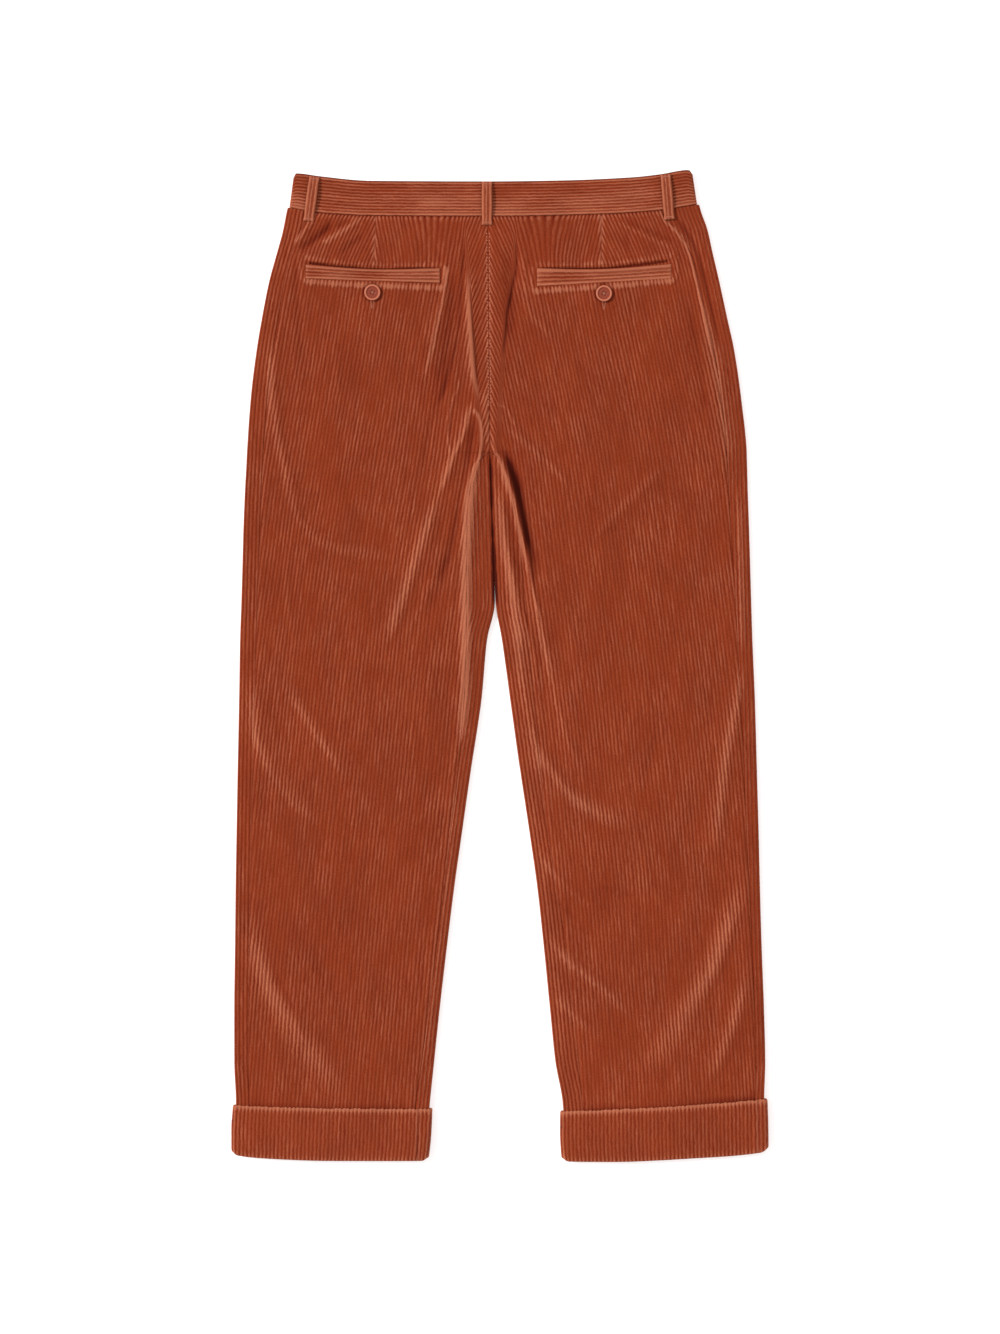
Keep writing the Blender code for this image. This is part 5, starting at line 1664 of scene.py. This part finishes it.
@dataclass
class BeltLoop:
    """A strip over the waistband, sewn down at the band's top and below its seam."""

    name: str
    top: Place
    end: Place
    leg: LegForm
    width: float = LOOP_WIDTH
    stations: int = 40
    flat_length: float = 0.048

    # Shares of the width with shares of the crown, from the left edge to the right.
    profile: Pairs = (
        (-0.5, -1.3), (-0.5, -0.6), (-0.47, 0.1), (-0.4, 0.62), (-0.3, 0.98), (-0.18, 1), (-0.06, 0.72),
        (0.04, 0.35), (0.14, 0.72), (0.24, 1), (0.34, 0.92), (0.42, 0.6), (0.47, 0.1), (0.5, -0.6),
        (0.5, -1.3),
    )
    crown: float = 0.75

    @property
    def length(self) -> float:
        """The length of the loop as it lies."""
        return math.dist(self.top, self.end)

    def build(self, material: Material) -> None:
        """Builds the loop as a closed strip and puts it in place of its solid."""
        ways = np.linspace(0, 1, self.stations)
        lines = [self._line(float(way) * self.length) for way in 0.5 * (ways + ease(ways))]
        shell = woven(f"{self.name}_cloth", lines, material, ring=True, filled=True)
        under = ["waistband_cloth", f"back_panel_{self.leg.word}_cloth"]
        piece = enlist(shell, CLOTH_SLOT, self.name)

    def at(self, along: float, width: float, shares: Value) -> tuple[Value, Value]:
        """The X and Y at a distance from the top and at shares of a width from the middle."""
        way_x, way_y = (self.end.x - self.top.x) / self.length, (self.end.y - self.top.y) / self.length
        x = self.top.x + way_x * along - way_y * width * shares
        return x, self.top.y + way_y * along + way_x * width * shares

    def base(self, along: float) -> float:
        """The height of the loop's underside at a distance from its top."""
        seam_at = self.top.y - read(WAIST_SEAM, self.top.x)
        on_band = BAND_HEIGHT + REST_GAP
        foot = self.length - 4.5
        table = curve(
            (0, on_band - 0.3), (2.5, on_band + 0.1), (9, on_band + 0.9), (0.5 * seam_at, on_band + 1.2),
            (seam_at - 6, on_band + 0.9), (seam_at + 1, on_band + 0.2), (foot, self._panel(foot)),
            (self.length, self._panel(self.length)),
        )
        return read(table, along)

    def _panel(self, along: float) -> float:
        """The panel's height under the middle of the loop, with its clearance."""
        share = along / self.length
        x = self.top.x + share * (self.end.x - self.top.x)
        y = self.top.y + share * (self.end.y - self.top.y)
        return float(self.leg.top(x, y)) + REST_GAP

    def _line(self, along: float) -> Line:
        """One section across the loop."""
        shares, crowns = np.array(self.profile).T
        near_end = min(along, self.length - along)
        pinch = 0.55 * bell(near_end - 2.6, 1)
        wide = self.width * (1 - 0.05 * bell(near_end - 6, 4) + 0.04 * math.exp(-near_end / 2))
        rounded = math.sqrt(max(0, 1 - (1 - min(1, near_end / 1.1)) ** 2))
        x, y = self.at(along, wide, shares)
        thick = LOOP_CLOTH * (0.35 + 0.65 * rounded)
        z = self.base(along) + thick + self.crown * crowns * (0.4 + 0.6 * rounded) - pinch
        z = z + 0.12 * BRISTLE.at(x * 0.7, y * 0.25)
        cloth = columns(0.08 + 2.9 * (shares + 0.5), along / BAND_WALE.pitch)
        # Pale from wear and painted highlight, more on the two crests and near the ends; painted shade in the
        # middle groove and on the sides that turn under.
        wear = 0.42 + 0.3 * bell(np.abs(shares) - 0.36, 0.08) + 0.2 * math.exp(-near_end / 3)
        hollow = 0.36 * bell(shares - 0.04, 0.045) + 0.8 * (crowns < -0.3)
        return columns(x, y, z), cloth, wear, hollow


# ---- pocket welts


@dataclass
class PocketWelt:
    """A welt below its pocket's mouth, with a rolled lip and pressed ends."""

    place: WeltPlace
    leg: LegForm
    wale: Wale = BAND_WALE
    wales: int = 4
    columns: int = 64
    lip_rise: float = 1.3
    flat_length: float = 0.024

    def build(self, material: Material) -> None:
        """Builds the welt and puts it in place of its solid."""
        lines = [self._line(step) for step in self._steps()]
        under = f"back_panel_{self.leg.word}_cloth"
        shell = woven(f"{self.place.node}_cloth", lines, material, flip=True)
        piece = enlist(shell, CLOTH_SLOT, self.place.node)

    def _steps(self) -> list[HeightStep]:
        """The lines from the welt's foot up over its wales and into the pocket."""
        _, counts = self.wale.samples(0.3, self.wales - 0.3)
        over_lip = ((-0.35, 0.2, -0.2), (0.05, 0.7, 0), (0.05, 1.3, 0.2), (-0.3, 2, 0.4), (-1.2, 2.8, 0.7))
        return [
            HeightStep(0, 0, 1.5, 0),
            HeightStep(0, 0.05, 0.8, 0.05),
            HeightStep(0.03, 0, 0.3, 0.12),
            *(HeightStep(count / self.wales, 0, 0, count) for count in counts),
            *(HeightStep(1, rise, depth, self.wales + more) for rise, depth, more in over_lip),
        ]

    def _line(self, step: HeightStep) -> Line:
        """The points of one line along the welt."""
        share = join([0, 0, 0.004], np.linspace(0.012, 0.988, self.columns), [0.996, 1, 1])
        end_drop = join([1.5, 0.8, 0.3], np.zeros(self.columns), [0.3, 0.8, 1.5])
        x = self.place.left + share * (self.place.right - self.place.left)
        foot, lip = self.place.foot(x), self.place.lip(x)
        y = foot + step.share * (lip - foot) + step.rise
        sewn = ease(share / 0.14) * ease((1 - share) / 0.14)
        lift = self.lip_rise * ease((step.share - 0.4) / 0.6) * sewn
        belly = 0.35 * SMALL_LUMPS.at(x * 0.6 + 7, y) * sewn
        crush = 0.5 * BROAD_LUMPS.at(x * 0.9, y * 3) * sewn * ease(step.share * 1.4)
        dip = 1.25 * self.wale.dip(step.count) if step.depth == 0 else 0
        z = self.leg.top(x, y) + REST_GAP + 1.1 + lift + belly + crush - dip - step.depth - end_drop
        cloth = columns(step.count, x / self.wale.pitch)
        # Pale from wear and painted highlight on the lip, the foot and the ends; painted shade at the ends
        # and inside the mouth.
        wear = 0.38 + 0.5 * bell(step.share - 0.9, 0.13) + 0.2 * SMALL_LUMPS.at(x * 0.4, y * 1.5)
        wear = wear + 0.42 * bell(step.share - 0.1, 0.1) + 0.25 * (bell(share, 0.02) + bell(1 - share, 0.02))
        hollow = 0.6 * end_drop / 1.5 + max(0, step.depth - 0.7) / 1.6
        return columns(x, y, z), cloth, wear, hollow


# ---- buttons


def circle(centre: Place, radius: float, sides: int, z: float) -> Array:
    """Points round a level circle."""
    turns = np.linspace(0, 2 * np.pi, sides, endpoint=False)
    x, y = centre.x + radius * np.cos(turns), centre.y + radius * np.sin(turns)
    return columns(x, y, z)


@dataclass
class PocketButton:
    """A turned button with a raised rim, a dished middle and four thread holes."""

    node: str
    place: Place
    leg: LegForm
    sides: int = 56
    first_hole: float = 20.0
    hole_reach: float = 1.75
    hole_radius: float = 0.85

    # Shares of the radius with heights over the seat, from below round the rim.
    profile: Pairs = (
        (0.5, 0), (0.8, 0.05), (0.92, 0.35), (0.985, 0.9), (1, 1.4), (0.99, 1.95), (0.955, 2.4),
        (0.9, 2.68), (0.83, 2.72), (0.77, 2.5), (0.735, 2), (0.71, 1.6), (0.64, 1.5), (0.5, 1.5),
        (0.42, 1.62), (0.38, 1.6), (0.34, 1.4),
    )

    def seat(self) -> float:
        """The height on which the button lies."""
        rings = [circle(self.place, share * BUTTON_RADIUS, 8, 0) for share in (0, 0.5, 1)]
        x, y, _ = join(*rings).T
        return float(self.leg.top(x, y).max()) + REST_GAP

    def build(self, material: Material) -> None:
        """Turns the button, drills it and puts it in place of its solid."""
        seat = self.seat()
        lines = []
        for share, height in self.profile:
            ring = circle(self.place, share * BUTTON_RADIUS, self.sides, seat + height)
            # The top of the rim is marked for its painted highlight.
            lines.append((ring, ring[:, :2], 1 if 0.75 < share < 0.97 and height > 2.2 else 0, 0))
        blank = woven(f"{self.node}_blank", lines, material, ring=True, flip=True, filled=True)
        drills = [self._drill(number, seat, material) for number in range(4)]
        for drill in drills:
            cut = blank.modifiers.new("hole", "BOOLEAN")
            cut.object = drill
            cut.operation = "DIFFERENCE"
            cut.solver = "EXACT"
        mesh = taken_mesh(blank)
        mesh.name = f"{self.node}_turned"
        button = in_scene(mesh.name, mesh)
        for drill in drills:
            bpy.data.objects.remove(drill, do_unlink=True)
        mesh.set_sharp_from_angle(angle=math.radians(40))
        enlist(button, BUTTON_SLOT, self.node)

    def _drill(self, number: int, seat: float, material: Material) -> Object:
        """A cutter for one of the four holes."""
        turn = math.radians(self.first_hole + 90 * number)
        x = self.place.x + self.hole_reach * math.cos(turn)
        hole = Place(x, self.place.y + self.hole_reach * math.sin(turn))
        rings = [circle(hole, self.hole_radius, 14, seat + height) for height in (0.35, 4)]
        lines = [(ring, ring[:, :2], 0, 0) for ring in rings]
        return woven("drill", lines, material, ring=True, flip=True, filled=True)


# ---- stitches


@dataclass
class StitchTree:
    """Geometry nodes that set small thread stitches along a line.

    Each stitch is a rounded rod as long as Length, turned by Turn from the line's
    direction. The rods stand Pitch apart.
    """

    name: str = "stitch line"
    sockets: dict[str, str] = field(default_factory=dict)

    def tree(self, material: Material) -> Tree:
        """The node tree, built once, that ends in the thread's material."""
        found = bpy.data.node_groups.get(self.name)
        if found:
            return found
        group = bpy.data.node_groups.new(self.name, "GeometryNodeTree")
        group.is_modifier = True
        add_sockets(group, "INPUT", {"Line": "Geometry"})
        sizes = {name: "Float" for name in ("Pitch", "Length", "Thread", "Turn")}
        self.sockets.update(add_sockets(group, "INPUT", sizes))
        add_sockets(group, "OUTPUT", {"Stitches": "Geometry"})
        add = NodeKit(group).add
        given = add("NodeGroupInput")
        line = {"Curve": given["Line"], "Length": given["Pitch"]}
        spaced = add("GeometryNodeResampleCurve", line, mode="LENGTH")
        tangent = add("GeometryNodeInputTangent")["Tangent"]
        facing = add("FunctionNodeAlignRotationToVector", {"Vector": tangent}, axis="X", pivot_axis="Z")
        spin = add("FunctionNodeAxisAngleToRotation", {"Axis": (0, 0, 1), "Angle": given["Turn"]})
        turns = {"Rotation": facing["Rotation"], "Rotate By": spin["Rotation"]}
        turned = add("FunctionNodeRotateRotation", turns, rotation_space="LOCAL")
        rod = add("GeometryNodeMeshUVSphere", {"Segments": 6, "Rings": 5, "Radius": 0.5})
        size = add("ShaderNodeCombineXYZ", {"X": given["Length"], "Y": given["Thread"], "Z": given["Thread"]})
        placed = add("GeometryNodeInstanceOnPoints", {
            "Points": spaced["Curve"], "Instance": rod["Mesh"],
            "Rotation": turned["Rotation"], "Scale": size["Vector"],
        })
        real = add("GeometryNodeRealizeInstances", {"Geometry": placed["Instances"]})
        smooth = add("GeometryNodeSetShadeSmooth", {"Geometry": real["Geometry"]})
        dressed = add("GeometryNodeSetMaterial", {"Geometry": smooth["Geometry"], "Material": material})
        add("NodeGroupOutput", {"Stitches": dressed["Geometry"]})
        return group


class StitchRun(NamedTuple):
    """A line of stitches: its points, and how its stitches are set."""

    points: list[tuple[float, float, float]]
    pitch: float
    length: float
    thread: float
    turn: float


@dataclass
class Stitching:
    """All the stitches of one kind, gathered into one piece."""

    name: str
    runs: list[StitchRun]
    kit: StitchTree

    def build(self, material: Material) -> None:
        """Sets every run and joins the stitches into one mesh."""
        tree = self.kit.tree(material)
        points, faces = [], []
        for run in self.runs:
            mesh = self._set(run, tree)
            first = len(points)
            points += [tuple(vertex.co) for vertex in mesh.vertices]
            faces += [tuple(first + corner for corner in polygon.vertices) for polygon in mesh.polygons]
            bpy.data.meshes.remove(mesh)
        whole = bpy.data.meshes.new(self.name)
        whole.from_pydata(points, [], faces)
        whole.shade_smooth()
        whole.materials.append(material)
        enlist(in_scene(self.name, whole), CLOTH_SLOT)

    def _set(self, run: StitchRun, tree: Tree) -> bpy.types.Mesh:
        """The stitches of one run."""
        line = bpy.data.curves.new(f"{self.name}_line", "CURVE")
        line.dimensions = "3D"
        spline = line.splines.new("POLY")
        spline.points.add(len(run.points) - 1)
        for point, (x, y, z) in zip(spline.points, run.points):
            point.co = (x * MM, y * MM, z * MM, 1)
        piece = in_scene(line.name, line)
        setter = piece.modifiers.new("stitches", "NODES")
        setter.node_group = tree
        for name in ("Pitch", "Length", "Thread"):
            setter[self.kit.sockets[name]] = getattr(run, name.lower()) * MM
        setter[self.kit.sockets["Turn"]] = math.radians(run.turn)
        return taken_mesh(piece)


def loop_tacks(loop: BeltLoop) -> list[StitchRun]:
    """The bar tacks that hold a belt loop at its top and at its foot."""
    runs = []
    for along in (2.6, loop.length - 2.6):
        z = loop.base(along) + LOOP_CLOTH + 0.25
        shares = np.linspace(-0.4, 0.4, 9)
        points = [(*loop.at(along, loop.width, share), z + 0.1 * math.cos(7 * share)) for share in shares]
        runs.append(StitchRun(points, pitch=0.62, length=1.5, thread=0.5, turn=84))
    return runs


def buttonhole(place: Place, leg: LegForm) -> list[StitchRun]:
    """The worked edges of a buttonhole that shows below its button."""

    def lie(across: float, down: float) -> tuple[float, float, float]:
        """A point of the hole's edge on the cloth."""
        x, y = place.x + across, place.y - down
        return (x, y, float(leg.worn_top(x, y)) + 0.15)

    runs = []
    for side in (-1, 1):
        points = [lie(side * (1.7 - 1.1 * share), 6 + 8.5 * share) for share in np.linspace(0, 1, 8)]
        runs.append(StitchRun(points, pitch=0.7, length=1.6, thread=0.42, turn=76))
    foot = [lie(across, 15.4) for across in (-0.8, 0, 0.8)]
    runs.append(StitchRun(foot, pitch=0.6, length=1.6, thread=0.42, turn=84))
    return runs


def seam_tufts(top: float, end: float) -> list[StitchRun]:
    """The tufts of pile that stand out of the centre back seam, in two slanting rows."""
    runs = []
    for leg in (LEFT_LEG, RIGHT_LEG):
        side = leg.side.value
        points = []
        for y in np.linspace(top, end + 1.2 * side, 60):
            x = float(leg.column("inner", y) + side * (1.25 + 0.25 * PUCKER.at(side * 40, y * 0.6)))
            points.append((x, y, float(leg.worn_top(x, y)) - 0.1))
        runs.append(StitchRun(points, pitch=3.4, length=2.3, thread=0.85, turn=-side * 34))
    return runs


def button_thread(button: PocketButton) -> list[StitchRun]:
    """The crossed threads that hold a button."""
    runs = []
    for number in range(2):
        z = button.seat() + 1.58 + 0.12 * number
        turn = math.radians(button.first_hole + 90 * number)
        dx, dy = 0.06 * button.hole_reach * math.cos(turn), 0.06 * button.hole_reach * math.sin(turn)
        for offset in (-0.28, 0.28):
            x, y = button.place.x - math.sin(turn) * offset, button.place.y + math.cos(turn) * offset
            points = [(x - dx, y - dy, z), (x + dx, y + dy, z)]
            runs.append(StitchRun(points, pitch=5, length=2 * button.hole_reach, thread=0.55, turn=0))
    return runs


# ---- studio


@dataclass(frozen=True)
class Sun:
    """A soft distant light: where it comes from, its power and how soft it is."""

    name: str
    azimuth: float
    elevation: float
    strength: float
    softness: float


@dataclass(frozen=True)
class Studio:
    """A plain pale floor, soft light and the camera that looks straight down."""

    suns: tuple[Sun, ...] = (
        Sun("key", azimuth=158, elevation=40, strength=2.4, softness=10),
        Sun("fill", azimuth=-35, elevation=55, strength=0.5, softness=40),
    )
    sky: float = 0.5
    lens: float = 85.0
    sensor: float = 36.0
    frame_height: float = 1.334
    centre: tuple[float, float] = (0, -0.0015)
    cloth_level: float = 0.008
    floor_half: float = 6.0
    floor_level: float = -0.0004

    def build(self) -> None:
        """Makes the floor, the lights, the sky and the camera."""
        scene = bpy.context.scene
        scene.view_settings.view_transform = "Standard"
        scene.view_settings.look = "None"
        self._floor()
        for sun in self.suns:
            self._light(sun)
        world = bpy.data.worlds.new("sky")
        world.use_nodes = True
        background = world.node_tree.nodes["Background"]
        background.inputs["Color"].default_value = (1, 1, 1, 1)
        background.inputs["Strength"].default_value = self.sky
        scene.world = world
        camera = in_scene("camera", bpy.data.cameras.new("camera"))
        camera.data.lens = self.lens
        camera.data.sensor_width = self.sensor
        camera.data.clip_end = 50
        camera.location = (*self.centre, self.cloth_level + self.frame_height * self.lens / self.sensor)
        scene.camera = camera

    def _light(self, sun: Sun) -> None:
        """One soft distant light."""
        data = bpy.data.lights.new(sun.name, "SUN")
        data.energy = sun.strength
        data.angle = math.radians(sun.softness)
        light = in_scene(sun.name, data)
        light.rotation_euler = (0, math.radians(90 - sun.elevation), math.radians(sun.azimuth))

    def _floor(self) -> None:
        """A wide pale floor just under the cloth."""
        mesh = bpy.data.meshes.new("floor")
        half = self.floor_half
        corners = ((-half, -half), (half, -half), (half, half), (-half, half))
        mesh.from_pydata([(x, y, self.floor_level) for x, y in corners], [], [(0, 1, 2, 3)])
        material, kit, shader = new_material("floor")
        kit.feed(shader, {
            "Base Color": (0.94, 0.94, 0.94, 1), "Roughness": 0.9, "Specular IOR Level": 0,
            "Emission Color": (1, 1, 1, 1), "Emission Strength": 0.45,
        })
        mesh.materials.append(material)
        in_scene("floor", mesh)


# ---- the whole garment


def main() -> None:
    """Builds the studio and the garment, from the panels to what is sewn on them."""
    logging.basicConfig(level=logging.INFO, format="%(name)s: %(message)s")
    Studio().build()
    corduroy = CORDUROY.material()
    resin = RESIN.material()
    thread = THREAD.material()

    FrontPanel(LEFT_LEG).build(corduroy)
    FrontPanel(RIGHT_LEG).build(corduroy)
    BackPanel(LEFT_LEG, LEFT_DART, LEFT_WELT, LEFT_BUTTON).build(corduroy)
    BackPanel(RIGHT_LEG, RIGHT_DART, RIGHT_WELT, RIGHT_BUTTON).build(corduroy)
    Waistband().build(corduroy)
    TurnUp(LEFT_LEG, LEFT_CUFF_SIDES, seam_x=-82).build(corduroy)
    TurnUp(RIGHT_LEG, RIGHT_CUFF_SIDES, seam_x=258).build(corduroy)

    loops = (
        BeltLoop("belt_loop_left", Place(-185.5, 489), Place(-191.5, 444.3), LEFT_LEG),
        BeltLoop("belt_loop_back", Place(-13, 484.2), Place(-13, 440.5), LEFT_LEG),
        BeltLoop("belt_loop_right", Place(165.5, 491.2), Place(169.5, 446), RIGHT_LEG),
    )
    for loop in loops:
        loop.build(corduroy)
    PocketWelt(LEFT_WELT, LEFT_LEG).build(corduroy)
    PocketWelt(RIGHT_WELT, RIGHT_LEG).build(corduroy)
    buttons = (
        PocketButton("pocket_button_left", LEFT_BUTTON, LEFT_LEG),
        PocketButton("pocket_button_right", RIGHT_BUTTON, RIGHT_LEG),
    )
    for button in buttons:
        button.build(resin)

    kit = StitchTree()
    tacks = [run for loop in loops for run in loop_tacks(loop)]
    Stitching("loop_tacks", tacks, kit).build(thread)
    holes = buttonhole(LEFT_BUTTON, LEFT_LEG) + buttonhole(RIGHT_BUTTON, RIGHT_LEG)
    Stitching("buttonhole_stitches", holes, kit).build(thread)
    threads = [run for button in buttons for run in button_thread(button)]
    Stitching("button_threads", threads, kit).build(thread)
    Stitching("seam_tufts", seam_tufts(432, 262), kit).build(thread)


if __name__ == "__main__":
    main()
